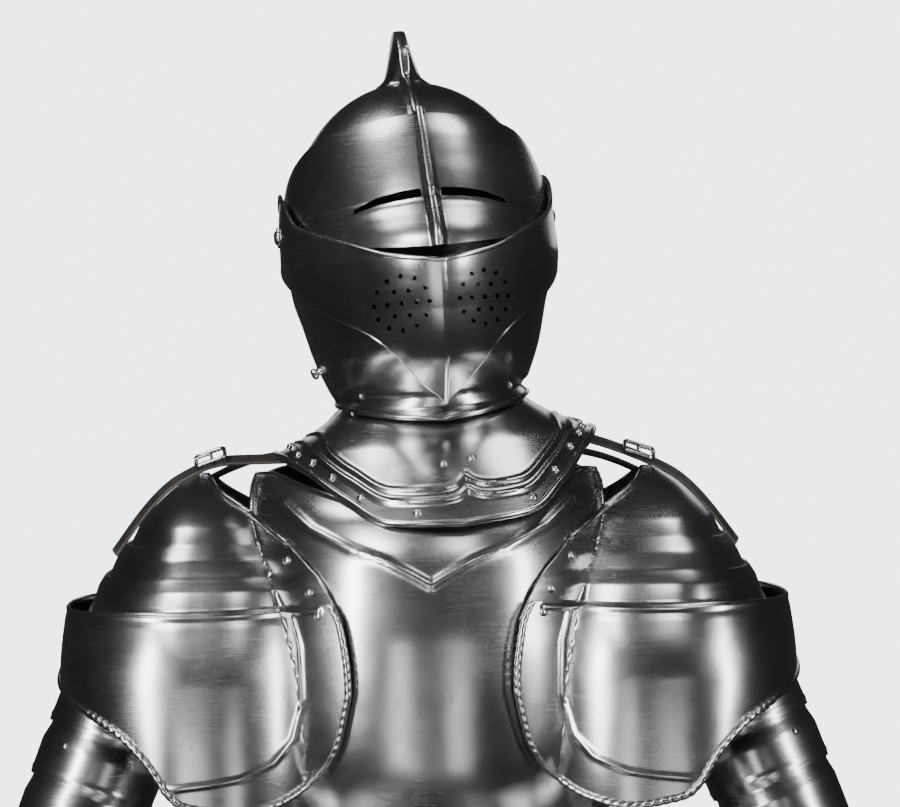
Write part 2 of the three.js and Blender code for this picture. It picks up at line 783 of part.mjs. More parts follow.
// Arms: bent at the elbow, the hands half closed in front of the belly
const UPPER_ARM = table(SECTION, [
  [30, 50, 50, 50], [80, 52, 52, 52], [140, 54, 54, 54], [190, 54, 54, 54], [246, 57, 57, 57],
]);
const UPPER_ARM_LAMES = table(['name', 'bottom', 'cover', 'top'], [
  ['upper_arm_lame_1', 192, 260, 246],
  ['upper_arm_lame_2', 146, 192, 202],
  ['upper_arm_lame_3', 100, 146, 156],
]);
const FOREARM = table(SECTION, [
  [36, 46, 46, 46], [100, 46, 46, 46], [160, 40, 40, 40], [225, 33, 33, 33], [270, 33, 33, 33],
]);
const CUFF = table(SECTION, [
  [130, 62, 60, 62], [160, 52, 51, 52], [195, 42, 42, 42], [222, 36.4, 36.4, 36.4], [262, 39, 39, 39],
]);
const HAND = table(SECTION, [[260, 39, 39, 39], [276, 42, 25, 30], [310, 45, 24, 29], [362, 44, 24, 30]]);
const MITTEN_RADIUS = 30;
const THUMB = { radius: 15, across: 33.4, palm: 14.9, from: 286, to: 338 };
const WRIST_LENGTH = 260.6;
const KNUCKLE_LENGTH = 361;

// How much a tube is cut back at the inside of the elbow.
function bendCut(start, depth) {
  return (angle) => start + depth * (0.5 + 0.5 * Math.cos(radians(angle))) ** 1.5;
}

function addArm(group, sideName) {
  const upward = SHOULDER.clone().sub(ELBOW).normalize();
  const forward = WRIST.clone().sub(ELBOW).normalize();
  const upperArm = frameAt(ELBOW, upward, forward);
  const forearm = frameAt(ELBOW, forward, upward);
  const point = upward.clone().add(forward).normalize().negate();
  const elbow = frameAt(ELBOW, point, upward.clone().sub(forward));
  group.add(upperArm, forearm, elbow);

  for (const { name, bottom, cover, top } of UPPER_ARM_LAMES) {
    addPart(upperArm, `${name}_${sideName}`, plate({
      form: formOf(UPPER_ARM),
      columns: roundColumns(12),
      rows: cover < top ? shares(bottom, top, [cover - TUCK.start, cover - TUCK.end]) : 1,
      lower: level(bottom),
      upper: level(top),
      push: tuckedUnder(cover),
      closed: true,
    }));
  }
  addPart(upperArm, `rerebrace_${sideName}`, plate({
    form: formOf(UPPER_ARM),
    columns: roundColumns(12),
    rows: [0, 0.5, 0.67, 0.83, 1],
    lower: bendCut(35, 35),
    upper: level(110),
    push: tuckedUnder(100),
    closed: true,
  }));
  addPart(elbow, `couter_${sideName}`, plate({
    form: (z) => {
      const radius = Math.sqrt(Math.max(0, COUTER_RADIUS ** 2 - z * z));
      return { x: 0, y: 0, square: 2, halfWidth: radius, front: radius, back: radius };
    },
    columns: roundColumns(16),
    rows: crownRows(4),
    lower: (angle) => {
      const sides = Math.sin(radians(angle)) ** 2;
      const reach = 99 * sides + (1 - sides) * (Math.abs(angle) < 90 ? 86.4 : 92);
      return COUTER_RADIUS * Math.cos(radians(reach));
    },
    upper: level(COUTER_RADIUS),
    closed: true,
  }));
  addPart(forearm, `vambrace_${sideName}`, plate({
    form: formOf(FOREARM),
    columns: roundColumns(12),
    rows: 4,
    lower: bendCut(36, 38),
    upper: level(240),
    closed: true,
  }));
  addPart(forearm, `gauntlet_cuff_${sideName}`, plate({
    form: formOf(CUFF),
    columns: roundColumns(12),
    rows: [0, 0.25, 0.5, 0.7, 1],
    lower: level(132),
    upper: level(260),
    closed: true,
  }));

  // The palm faces the body, the back of the hand away from it.
  const palm = new THREE.Vector3(forward.y, -forward.x, 0);
  const hand = frameAt(ELBOW, forward, palm);
  group.add(hand);
  addPart(hand, `gauntlet_hand_${sideName}`, plate({
    form: formOf(HAND),
    columns: spread(-95, 95, 12),
    rows: 3,
    middle: 180,
    lower: level(WRIST_LENGTH),
    upper: level(KNUCKLE_LENGTH - 2.5),
  }));
  const up = palm.clone().cross(forward).normalize();
  const knuckles = ELBOW.clone().addScaledVector(forward, KNUCKLE_LENGTH);
  const mitten = frameAt(knuckles, up, forward);
  group.add(mitten);
  addPart(mitten, `gauntlet_mitten_${sideName}`, plate({
    form: formOf(table(SECTION, [
      [-42, 26, 26, 26], [-20, MITTEN_RADIUS, MITTEN_RADIUS, 26], [20, MITTEN_RADIUS, MITTEN_RADIUS, 26],
      [42, 26, 26, 26],
    ])),
    columns: spread(-140, 94, 9),
    rows: 4,
    lower: level(-40),
    upper: level(40),
  }));
  const root = ELBOW.clone().addScaledVector(up, THUMB.across).addScaledVector(palm, THUMB.palm);
  const thumb = frameAt(root, forward, palm);
  group.add(thumb);
  addPart(thumb, `gauntlet_thumb_${sideName}`, plate({
    form: formOf(table(SECTION, [
      [THUMB.from, THUMB.radius, THUMB.radius, THUMB.radius],
      [THUMB.to, THUMB.radius - 3, THUMB.radius - 3, THUMB.radius - 3],
    ])),
    columns: roundColumns(10),
    rows: 2,
    lower: level(THUMB.from),
    upper: level(THUMB.to),
    closed: true,
  }));
}

// A strap hangs each pauldron from the gorget and lies over its cap, with its loose end past the buckle.
const STRAP_Y = 10;
const STRAP_START = table(['x', 'z', 'tilt'], [[116, 1484, 1], [146, 1481, 0.7], [182, 1474, 0]]);
const GORGET_RISE = 132 * Math.sin(radians(HEAD_TILT));
const STRAP_LEVELS = [1456, 1446, 1434, 1420, 1404, 1392];
const BUCKLE = { x: 186, z: 1476.4, length: 30, width: 28, bar: 4, height: 3, slope: 18 };

function strapPath(side) {
  const free = STRAP_START.map(
    ({ x, z, tilt }) => new THREE.Vector3(x, STRAP_Y, z + side * tilt * GORGET_RISE),
  );
  const rise = STRAP_THICKNESS / 2 + SEAT;
  const laid = STRAP_LEVELS.map((z) => {
    const at = sectionPoint(pauldronForm(z), 90, z);
    return new THREE.Vector3(at.x + rise * 1.1, STRAP_Y, z + rise * 1.1);
  });
  return [...free, ...laid];
}

function addStrap(group, sideName, side) {
  const path = strapPath(side);
  const rings = path.map((p, i) => {
    const run = path[Math.min(i + 1, path.length - 1)].clone().sub(path[Math.max(i - 1, 0)]).normalize();
    const up = new THREE.Vector3(-run.z, 0, run.x);
    const at = (across, rise) => p.clone()
      .add(new THREE.Vector3(0, across, 0))
      .addScaledVector(up, rise);
    const half = STRAP_WIDTH / 2;
    const thick = STRAP_THICKNESS / 2;
    return [at(-half, -thick), at(half, -thick), at(half, thick), at(-half, thick)];
  });
  addPart(group, `strap_${sideName}`, loft(rings), leather);
  const { length, width, bar, height } = BUCKLE;
  const block = wasm.Manifold.cube([length, width, height], true);
  const ring = block.subtract(wasm.Manifold.cube([length - 2 * bar, width - 2 * bar, 3 * height], true));
  const buckle = addPart(group, `buckle_${sideName}`, fromManifold(ring));
  buckle.position.set(BUCKLE.x, STRAP_Y, BUCKLE.z);
  buckle.rotation.y = radians(BUCKLE.slope);
}

for (const side of [1, -1]) {
  const half = new THREE.Group();
  half.scale.x = side;
  suit.add(half);
  const sideName = side > 0 ? 'left' : 'right';
  addLeg(half, sideName);
  addPauldron(half, sideName);
  addArm(half, sideName);
  addStrap(half, sideName, side);
}

// The origin is on the floor, under the middle of the suit's box.
const middle = new THREE.Box3().setFromObject(suit, true).getCenter(new THREE.Vector3());
suit.position.set(-middle.x, -middle.y, 0);

export default suit;
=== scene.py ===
# Suit of plate armour: hollow plates of polished steel, leather straps and leather soles.
import math

import bmesh
import bpy
import numpy as np
from mathutils import Matrix, Vector


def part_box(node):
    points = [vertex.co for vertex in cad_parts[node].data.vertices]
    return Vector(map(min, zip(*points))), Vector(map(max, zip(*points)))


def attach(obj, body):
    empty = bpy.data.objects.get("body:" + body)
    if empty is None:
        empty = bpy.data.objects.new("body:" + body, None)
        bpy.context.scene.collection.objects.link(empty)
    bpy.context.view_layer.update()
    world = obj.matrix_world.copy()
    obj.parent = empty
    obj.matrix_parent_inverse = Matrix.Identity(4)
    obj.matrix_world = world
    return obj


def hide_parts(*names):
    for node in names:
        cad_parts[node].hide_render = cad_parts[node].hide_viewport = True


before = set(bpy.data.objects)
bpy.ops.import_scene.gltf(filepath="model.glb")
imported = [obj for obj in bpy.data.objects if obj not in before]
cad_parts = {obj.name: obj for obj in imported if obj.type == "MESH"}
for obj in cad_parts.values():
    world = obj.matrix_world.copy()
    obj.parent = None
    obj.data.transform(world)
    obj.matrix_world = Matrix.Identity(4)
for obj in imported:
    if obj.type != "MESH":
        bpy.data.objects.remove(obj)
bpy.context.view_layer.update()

# Driving dimensions, in millimetres as on the solids
WALL = 1.6
GAP = 0.6
STEP = WALL + GAP
SEAT = 0.4
NECK_Z = 1500
PIVOT_Z = 1673
SIGHT_Z = 1685
BREATHS_X, BREATHS_Z, BREATH_RADIUS = 33, 1601, 1.9
SKULL_HALF_WIDTH = 108
SKULL_RADIUS = 124
HELMET_STEP = 3
SHOULDER = Vector((212, 0, 1392))
ELBOW = Vector((325, -50, 1105))
WRIST = Vector((120, -215, 1085))
COUTER_RADIUS = 66.9
PAULDRON_X = 188
THIGH_X = 102
SOLE_Y = -74
MM = 0.001
SHARP_ANGLE = math.radians(40)
ARM_BORDER_FOOT = 1200

sole_low, sole_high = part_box("sole_left")
SHIFT = (sole_low.y + sole_high.y) / 2 - SOLE_Y * MM
HEAD_TURN = 5
HEAD_TILT = 4
HEAD_SHIFT = 7
HEAD = (
    Matrix.Translation((HEAD_SHIFT, 0, NECK_Z))
    @ Matrix.Rotation(math.radians(-HEAD_TILT), 4, "Y")
    @ Matrix.Rotation(math.radians(HEAD_TURN), 4, "Z")
    @ Matrix.Translation((0, 0, -NECK_Z))
)
IDENTITY = Matrix.Identity(4)


# Tables: a row for each section, with named columns
def table(names, rows):
    values = np.array(rows, float)
    return {name: values[:, i] for i, name in enumerate(names.split())}


def along(rows, key, column, place):
    """Smooth value of one column at places along another, without overshoot."""
    k, c = rows[key], rows[column]
    slope = np.diff(c) / np.diff(k)
    before, after = slope[:-1], slope[1:]
    total = np.where(before * after > 0, before + after, 1)
    inner = np.where(before * after > 0, 2 * before * after / total, 0)
    tangent = np.concatenate([slope[:1], inner, slope[-1:]])
    p = np.clip(place, k[0], k[-1])
    i = np.clip(np.searchsorted(k, p, side="right") - 1, 0, len(k) - 2)
    span = k[i + 1] - k[i]
    t = (p - k[i]) / span
    rise = t * t * (3 - 2 * t)
    leave = t * (1 - t) ** 2 * span * tangent[i]
    arrive = t * t * (t - 1) * span * tangent[i + 1]
    return c[i] + (c[i + 1] - c[i]) * rise + leave + arrive


def form_of(rows, x=0.0, y=0.0, square=2.0):
    def form(z):
        half = along(rows, "z", "half", z)
        inner = along(rows, "z", "inner", z) if "inner" in rows else half
        return {
            "x": x,
            "y": y,
            "square": square,
            "half": half,
            "inner": inner,
            "front": along(rows, "z", "front", z),
            "back": along(rows, "z", "back", z),
        }

    return form


def section_point(section, angle, z):
    """Point of a section at an angle: 0 is the front (-Y), 90 is +X, 180 is the back."""
    s = np.sin(np.radians(angle))
    c = np.cos(np.radians(angle))
    power = 2 / section["square"]
    depth = np.where(c > 0, section["front"], section["back"])
    half = np.where(s < 0, section["inner"], section["half"])
    x = section["x"] + half * np.sign(s) * np.abs(s) ** power
    y = section["y"] - depth * np.sign(c) * np.abs(c) ** power
    return np.stack(np.broadcast_arrays(x, y, z), -1).astype(float)


def front_point(form, x, z):
    """Point of a form's front at a given x and z."""
    z = np.asarray(z, float)
    s = form(z)
    half = np.where(x < s["x"], s["inner"], s["half"])
    share = np.clip(np.abs(x - s["x"]) / half, 0, 1)
    y = s["y"] - s["front"] * (1 - share ** s["square"]) ** (1 / s["square"])
    return np.stack(np.broadcast_arrays(x, y, z), -1).astype(float)


def unit(v):
    length = np.linalg.norm(v, axis=-1, keepdims=True)
    return v / np.where(length < 1e-9, 1, length)


def bead(place, centre, width):
    """Height of a round ridge of height 1, at places across it."""
    return np.exp(-(((place - centre) / width) ** 2))


def level(z):
    return lambda u: z + 0 * u


def tucked_under(edge, depth=1.15 * STEP):
    return lambda u, z: -depth * np.clip((z - edge + 15) / 12, 0, 1)


def tucked_over(edge, depth=1.15 * STEP):
    return lambda u, z: -depth * np.clip((edge + 15 - z) / 12, 0, 1)


def patch(
    form, columns, rows, lower, upper, middle=0, reach=None, push=None, settle=None, closed=False
):
    """A grid of points over a form between two edges, with its outward normals."""
    u = np.asarray(columns, float)[None, :]
    v = np.asarray(rows, float)[:, None]
    z = lower(u) + (upper(u) - lower(u)) * v
    angle = middle + u * (reach(z) if reach else 1)
    points = section_point(form(z), angle, z)
    if settle:
        points = settle(points)
    normals = grid_normals(points, closed)
    if push:
        out = push(u + 0 * z, z)
        points = points + normals * np.asarray(out)[..., None]
        normals = grid_normals(points, closed)
    return points, normals


def grid_normals(points, closed):
    if closed:
        du = np.roll(points, -1, 1) - np.roll(points, 1, 1)
    else:
        du = np.gradient(points, axis=1)
    dv = np.gradient(points, axis=0)
    n = np.cross(du, dv)
    flat = np.linalg.norm(n, axis=-1) < 1e-7
    n = unit(n)
    if flat[-1].all():
        n[-1] = unit(n[-2].mean(0))
    return n


def to_lines(points, lines):
    """Distance of each point to the nearest of some polylines."""
    flat = points.reshape(-1, 3)
    best = np.full(len(flat), 1e9)
    for line in lines:
        for a, b in zip(line[:-1], line[1:]):
            ab = b - a
            t = np.clip(((flat - a) @ ab) / max(ab @ ab, 1e-9), 0, 1)
            best = np.minimum(best, np.linalg.norm(flat - a - t[:, None] * ab, axis=1))
    return best.reshape(points.shape[:-1])


def ridged(points, normals, lines, height, width, closed=False):
    """Raises a rounded ridge along polylines that lie on the surface."""
    near = to_lines(points, lines)
    points = points + normals * (height * bead(near, 0, width))[..., None]
    return points, grid_normals(points, closed)


def lamed(z, edges, height):
    """Height of overlapping lames: a step at each edge that sinks back to nothing before the next."""
    out = 0 * z
    for low, high in zip(edges[:-1], edges[1:]):
        share = (z - low) / (high - low)
        out = np.where((share >= 0) & (share < 1), height * (1 - share), out)
    return out


# Meshes
class Piece:
    """Vertices and faces in millimetres, collected for one object."""

    def __init__(self):
        self.points = []
        self.faces = []

    def add(self, points, faces):
        base = len(self.points)
        self.points.extend(np.asarray(points, float).reshape(-1, 3))
        self.faces.extend([tuple(base + i for i in face) for face in faces])
        return self

    def shell(self, points, normals, wall=WALL, closed=False):
        """A sheet of even thickness under a grid of points, closed round its rim."""
        rows, cols = points.shape[:2]
        count = rows * cols
        inner = points - normals * wall
        faces = []
        across = cols if closed else cols - 1
        for j in range(rows - 1):
            for i in range(across):
                k = (i + 1) % cols
                a, b, c, d = j * cols + i, j * cols + k, (j + 1) * cols + k, (j + 1) * cols + i
                faces.append((a, b, c, d))
                faces.append((a + count, d + count, c + count, b + count))
        last = (rows - 1) * cols
        pole = np.linalg.norm(np.ptp(points[-1], axis=0)) < 1e-3
        for i in range(across):
            k = (i + 1) % cols
            faces.append((k, i, i + count, k + count))
            if not pole:
                faces.append((last + i, last + k, last + k + count, last + i + count))
        if not closed:
            for j in range(rows - 1):
                a, d = j * cols, (j + 1) * cols
                faces.append((a, d, d + count, a + count))
                b, c = a + cols - 1, d + cols - 1
                faces.append((c, b, b + count, c + count))
        return self.add(np.concatenate([points.reshape(-1, 3), inner.reshape(-1, 3)]), faces)

    def tube(self, path, radius, sides=10, closed=False, rope=0.0, pitch=7.0):
        """A round bar along a path, with a roped twist where rope is above 0."""
        path = np.asarray(path, float)
        if closed:
            ahead, behind = np.roll(path, -1, 0), np.roll(path, 1, 0)
        else:
            ahead = np.vstack([path[1:], path[-1:]])
            behind = np.vstack([path[:1], path[:-1]])
        tangent = unit(ahead - behind)
        walked = np.concatenate([[0], np.cumsum(np.linalg.norm(np.diff(path, axis=0), axis=1))])
        side = unit(np.cross(tangent[0], [0.31, 0.17, 0.93]))
        rings = []
        for i, (p, t) in enumerate(zip(path, tangent)):
            side = unit(side - t * (side @ t))
            up = np.cross(t, side)
            phi = np.arange(sides) * 2 * math.pi / sides
            twist = 1 + rope * np.cos(2 * phi + 2 * math.pi * walked[i] / pitch)
            ring = np.cos(phi)[:, None] * side + np.sin(phi)[:, None] * up
            rings.append(p + radius * twist[:, None] * ring)
        n = len(path)
        faces = []
        for j in range(n if closed else n - 1):
            for i in range(sides):
                k, m = (i + 1) % sides, (j + 1) % n
                faces.append((j * sides + i, j * sides + k, m * sides + k, m * sides + i))
        if not closed:
            faces.append(tuple(reversed(range(sides))))
            faces.append(tuple((n - 1) * sides + i for i in range(sides)))
        return self.add(np.concatenate(rings), faces)

    def lathe(self, centre, axis, profile, sides=20):
        """A turned head: profile rows are radius and height along the axis, from the foot up."""
        axis = unit(np.asarray(axis, float))
        side = unit(np.cross(axis, [0.21, 0.83, 0.37]))
        up = np.cross(axis, side)
        phi = np.arange(sides) * 2 * math.pi / sides
        ring = np.cos(phi)[:, None] * side + np.sin(phi)[:, None] * up
        return self.loft([np.asarray(centre, float) + axis * h + ring * r for r, h in profile])

    def rivet(self, centre, normal, radius=3.4):
        shape = [(1, -0.3), (1, 0.12), (0.93, 0.3), (0.74, 0.5), (0.42, 0.64), (0.12, 0.68)]
        return self.lathe(centre, normal, [(radius * r, radius * h) for r, h in shape], 14)

    def rivets(self, grid, places, radius=3.4):
        """Rivets on a patch, at shares across and up its grid."""
        points, normals = grid
        rows, cols = points.shape[:2]
        for across, up in places:
            j = int(round(up * (rows - 1)))
            i = int(round(across * (cols - 1)))
            self.rivet(points[j, i], normals[j, i], radius)
        return self

    def loft(self, rings):
        """A closed body through a row of rings that have the same number of points."""
        size, n = len(rings[0]), len(rings)
        faces = []
        for j in range(n - 1):
            for i in range(size):
                k = (i + 1) % size
                faces.append((j * size + i, j * size + k, (j + 1) * size + k, (j + 1) * size + i))
        faces.append(tuple(reversed(range(size))))
        faces.append(tuple((n - 1) * size + i for i in range(size)))
        return self.add(np.concatenate(rings), faces)

    def make(self, name, body, slot, material, matrix=IDENTITY, side=1, nodes=(), soft_edge=0.35):
        points = np.array(self.points)
        m = np.array(matrix)
        points = points @ m[:3, :3].T + m[:3, 3]
        faces = self.faces
        points = points * [side, 1, 1] * MM + [0, SHIFT, 0]
        if side < 0:
            faces = [tuple(reversed(face)) for face in faces]
        mesh = bpy.data.meshes.new(name)
        mesh.from_pydata(points.tolist(), [], faces)
        mesh.validate()
        mesh.materials.append(material)
        merge_points(mesh)
        mesh.shade_smooth()
        mesh.set_sharp_from_angle(angle=SHARP_ANGLE)
        piece = bpy.data.objects.new(name, mesh)
        bpy.context.scene.collection.objects.link(piece)
        if soft_edge:
            bevel = piece.modifiers.new("edge", "BEVEL")
            bevel.width = soft_edge * MM
            bevel.segments = 2
            bevel.limit_method = "ANGLE"
            bevel.angle_limit = math.radians(50)
            bevel.harden_normals = True
        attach(piece, body)
        if nodes:
            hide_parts(*nodes)
        return piece


def merge_points(mesh):
    work = bmesh.new()
    work.from_mesh(mesh)
    bmesh.ops.remove_doubles(work, verts=work.verts, dist=1e-6)
    bmesh.ops.recalc_face_normals(work, faces=work.faces)
    work.to_mesh(mesh)
    work.free()


def cut(piece, cutter_points, name):
    """Cuts closed bodies out of a piece, before its edges are softened."""
    mesh = bpy.data.meshes.new(name)
    mesh.from_pydata(
        [[p[0] * MM, p[1] * MM + SHIFT, p[2] * MM] for p in cutter_points.points],
        [],
        cutter_points.faces,
    )
    cutter = bpy.data.objects.new(name, mesh)
    bpy.context.scene.collection.objects.link(cutter)
    merge_points(mesh)
    boolean = piece.modifiers.new("cut", "BOOLEAN")
    boolean.object = cutter
    boolean.solver = "EXACT"
    piece.modifiers.move(len(piece.modifiers) - 1, 0)
    edge = piece.modifiers["edge"]
    edge.show_viewport = False
    result = bpy.data.meshes.new_from_object(piece.evaluated_get(bpy.context.evaluated_depsgraph_get()))
    piece.modifiers.remove(boolean)
    edge.show_viewport = True
    piece.data = result
    result.shade_smooth()
    result.set_sharp_from_angle(angle=SHARP_ANGLE)
    bpy.data.objects.remove(cutter)
    return piece


# Materials
def node_material(name):
    material = bpy.data.materials.new(name)
    material.use_nodes = True
    tree = material.node_tree
    shader = tree.nodes["Principled BSDF"]
    return material, tree, shader


def link(tree, a, b):
    tree.links.new(a, b)


def noise(tree, vector, scale, detail=4.0, rough=0.5):
    node = tree.nodes.new("ShaderNodeTexNoise")
    node.inputs["Scale"].default_value = scale
    node.inputs["Detail"].default_value = detail
    node.inputs["Roughness"].default_value = rough
    link(tree, vector, node.inputs["Vector"])
    return node.outputs["Fac"]


def mapped(tree, vector, scale, rotation=(0, 0, 0)):
    node = tree.nodes.new("ShaderNodeMapping")
    node.inputs["Scale"].default_value = scale
    node.inputs["Rotation"].default_value = rotation
    link(tree, vector, node.inputs["Vector"])
    return node.outputs["Vector"]


def ramp(tree, value, low, high, start, end):
    node = tree.nodes.new("ShaderNodeMapRange")
    node.inputs["From Min"].default_value = start
    node.inputs["From Max"].default_value = end
    node.inputs["To Min"].default_value = low
    node.inputs["To Max"].default_value = high
    link(tree, value, node.inputs["Value"])
    return node.outputs["Result"]


def maths(tree, operation, a, b):
    node = tree.nodes.new("ShaderNodeMath")
    node.operation = operation
    for socket, value in zip(node.inputs, (a, b)):
        if isinstance(value, (int, float)):
            socket.default_value = value
        else:
            link(tree, value, socket)
    return node.outputs["Value"]


def grey_mix(tree, share, dark, light):
    node = tree.nodes.new("ShaderNodeMix")
    node.data_type = "RGBA"
    link(tree, share, node.inputs["Factor"])
    for socket, value in ((node.inputs[6], dark), (node.inputs[7], light)):
        if isinstance(value, tuple):
            socket.default_value = (*value, 1)
        else:
            link(tree, value, socket)
    return node.outputs[2]


def bumped(tree, height, strength, distance, normal=None):
    node = tree.nodes.new("ShaderNodeBump")
    node.inputs["Strength"].default_value = strength
    node.inputs["Distance"].default_value = distance
    link(tree, height, node.inputs["Height"])
    if normal:
        link(tree, normal, node.inputs["Normal"])
    return node.outputs["Normal"]


def steel_material(name, dark, light, rough, grain_scale, planish):
    """Polished steel: drawn brush marks, a faintly hammered face, and painted shade that darkens its hollows.
    """
    material, tree, shader = node_material(name)
    place = tree.nodes.new("ShaderNodeTexCoord").outputs["Object"]
    geometry = tree.nodes.new("ShaderNodeNewGeometry")
    cloud = noise(tree, place, 9, 5, 0.6)
    spots = noise(tree, place, 160, 3, 0.6)
    brush = noise(tree, mapped(tree, place, grain_scale), 1, 3, 0.6)
    fine = noise(tree, mapped(tree, place, tuple(3.1 * s for s in grain_scale)), 1, 2, 0.5)
    drawn = maths(tree, "ADD", maths(tree, "MULTIPLY", brush, 0.6), maths(tree, "MULTIPLY", fine, 0.4))
    tone = maths(tree, "ADD", maths(tree, "MULTIPLY", cloud, 0.55), maths(tree, "MULTIPLY", drawn, 0.45))
    colour = grey_mix(tree, ramp(tree, tone, 0, 1, 0.25, 0.75), dark, light)
    # Painted shade: concave places, found by pointiness, are darkened to about a third of the dark tone.
    hollow_shade = ramp(tree, geometry.outputs["Pointiness"], 0, 1, 0.42, 0.5)
    colour = grey_mix(tree, hollow_shade, tuple(0.35 * c for c in dark), colour)
    stain = ramp(tree, spots, 0, 1, 0.62, 0.74)
    colour = grey_mix(tree, maths(tree, "MULTIPLY", stain, 0.35), colour, tuple(0.5 * c for c in dark))
    link(tree, colour, shader.inputs["Base Color"])
    worn = ramp(tree, cloud, -0.04, 0.05, 0.3, 0.7)
    roughness = maths(tree, "ADD", ramp(tree, drawn, rough[0], rough[1], 0.3, 0.7), worn)
    link(tree, roughness, shader.inputs["Roughness"])
    shader.inputs["Metallic"].default_value = 1.0
    hammer = tree.nodes.new("ShaderNodeTexVoronoi")
    hammer.feature = "SMOOTH_F1"
    hammer.inputs["Scale"].default_value = 42
    hammer.inputs["Smoothness"].default_value = 1.0
    link(tree, place, hammer.inputs["Vector"])
    normal = bumped(tree, hammer.outputs["Distance"], planish, 0.001)
    swell = noise(tree, place, 14, 1, 0.4)
    normal = bumped(tree, swell, 0.35, 0.004, normal)
    normal = bumped(tree, drawn, 0.03, 0.0002, normal)
    link(tree, normal, shader.inputs["Normal"])
    return material


def leather_material(name, dark, light, rough):
    """Oiled leather: pebbled grain, creases, and paler worn edges."""
    material, tree, shader = node_material(name)
    place = tree.nodes.new("ShaderNodeTexCoord").outputs["Object"]
    geometry = tree.nodes.new("ShaderNodeNewGeometry")
    grain = tree.nodes.new("ShaderNodeTexVoronoi")
    grain.inputs["Scale"].default_value = 900
    link(tree, place, grain.inputs["Vector"])
    cloud = noise(tree, place, 60, 4, 0.6)
    fine = noise(tree, place, 700, 3, 0.6)
    edge = ramp(tree, geometry.outputs["Pointiness"], 0, 1, 0.52, 0.6)
    colour = grey_mix(tree, ramp(tree, cloud, 0, 1, 0.35, 0.7), dark, light)
    colour = grey_mix(tree, maths(tree, "MULTIPLY", edge, 0.6), colour, tuple(3 * c for c in light))
    link(tree, colour, shader.inputs["Base Color"])
    link(tree, ramp(tree, fine, rough[0], rough[1], 0.3, 0.7), shader.inputs["Roughness"])
    normal = bumped(tree, grain.outputs["Distance"], 0.3, 0.0004)
    normal = bumped(tree, cloud, 0.25, 0.001, normal)
    link(tree, normal, shader.inputs["Normal"])
    return material


STEEL = steel_material("steel", (0.40, 0.40, 0.41), (0.52, 0.52, 0.53), (0.2, 0.26), (40, 40, 900), 0.12)
# A lighter copy of the steel. It is the colour of the pivot heads, hook, buckles and the upper bevor's top
# bead, and a painted highlight where it forms the thin bar on the upper bevor's foot.
FITTING_AND_HIGHLIGHT_STEEL = steel_material(
    "fitting_and_highlight_steel", (0.5, 0.5, 0.51), (0.66, 0.66, 0.67), (0.18, 0.28), (300, 300, 300), 0.1
)
LEATHER = leather_material("leather", (0.012, 0.011, 0.010), (0.035, 0.030, 0.027), (0.38, 0.6))
SOLE_LEATHER = leather_material("sole_leather", (0.05, 0.03, 0.018), (0.10, 0.06, 0.036), (0.5, 0.75))


def rounds(count):
    return np.linspace(-180, 180, count, endpoint=False)


def fine(low, high, count):
    return np.linspace(low, high, count + 1)


def crown(count):
    return np.sin(np.linspace(0, 1, count + 1) * math.pi / 2)


SECTION = "z half front back"

# Head
HELMET_LOWER = table(SECTION, [
    (1500, 84, 96, 90), (1526, 77, 96, 84), (1540, 83, 110, 90), (1566, 93, 135, 104),
    (1597, 101, 147, 117), (1620, 107, 149, 122), (1641, 109, 146, 124),
    (PIVOT_Z, SKULL_HALF_WIDTH, SKULL_RADIUS, SKULL_RADIUS),
])


def skull_form(z):
    low = form_of(HELMET_LOWER)(z)
    rise = np.clip((z - PIVOT_Z) / SKULL_RADIUS, 0, 1)
    scale = np.sqrt(1 - rise * rise)
    above = z >= PIVOT_Z
    depth = np.where(above, SKULL_RADIUS * scale, 0)
    half = np.where(above, SKULL_HALF_WIDTH * scale, low["half"])
    return {
        "x": 0, "y": 0, "square": 2, "half": half, "inner": half,
        "front": np.where(above, depth, low["front"]), "back": np.where(above, depth, low["back"]),
    }


def by_angle(rows, column="z"):
    return lambda u: along(rows, "angle", column, np.abs(u))


SKULL_EDGE = table("angle z", [
    (0, 1737), (45, 1732), (66, 1705), (84, 1650), (102, 1570), (125, 1530), (180, 1526),
])
COMB = table("angle height base top", [
    (39, 1.5, 4, 3), (60, 4, 4.5, 3), (76, 5, 5, 3), (80, 30, 13, 4), (92, 46, 18, 5),
    (115, 40, 17, 5), (140, 26, 13, 4), (165, 8, 7, 3),
])


def spot(points, columns, angle, z):
    """Row and column of a grid nearest to an angle and a height."""
    i = int(np.argmin(np.abs(columns - angle)))
    return int(np.argmin(np.abs(points[:, i, 2] - z))), i


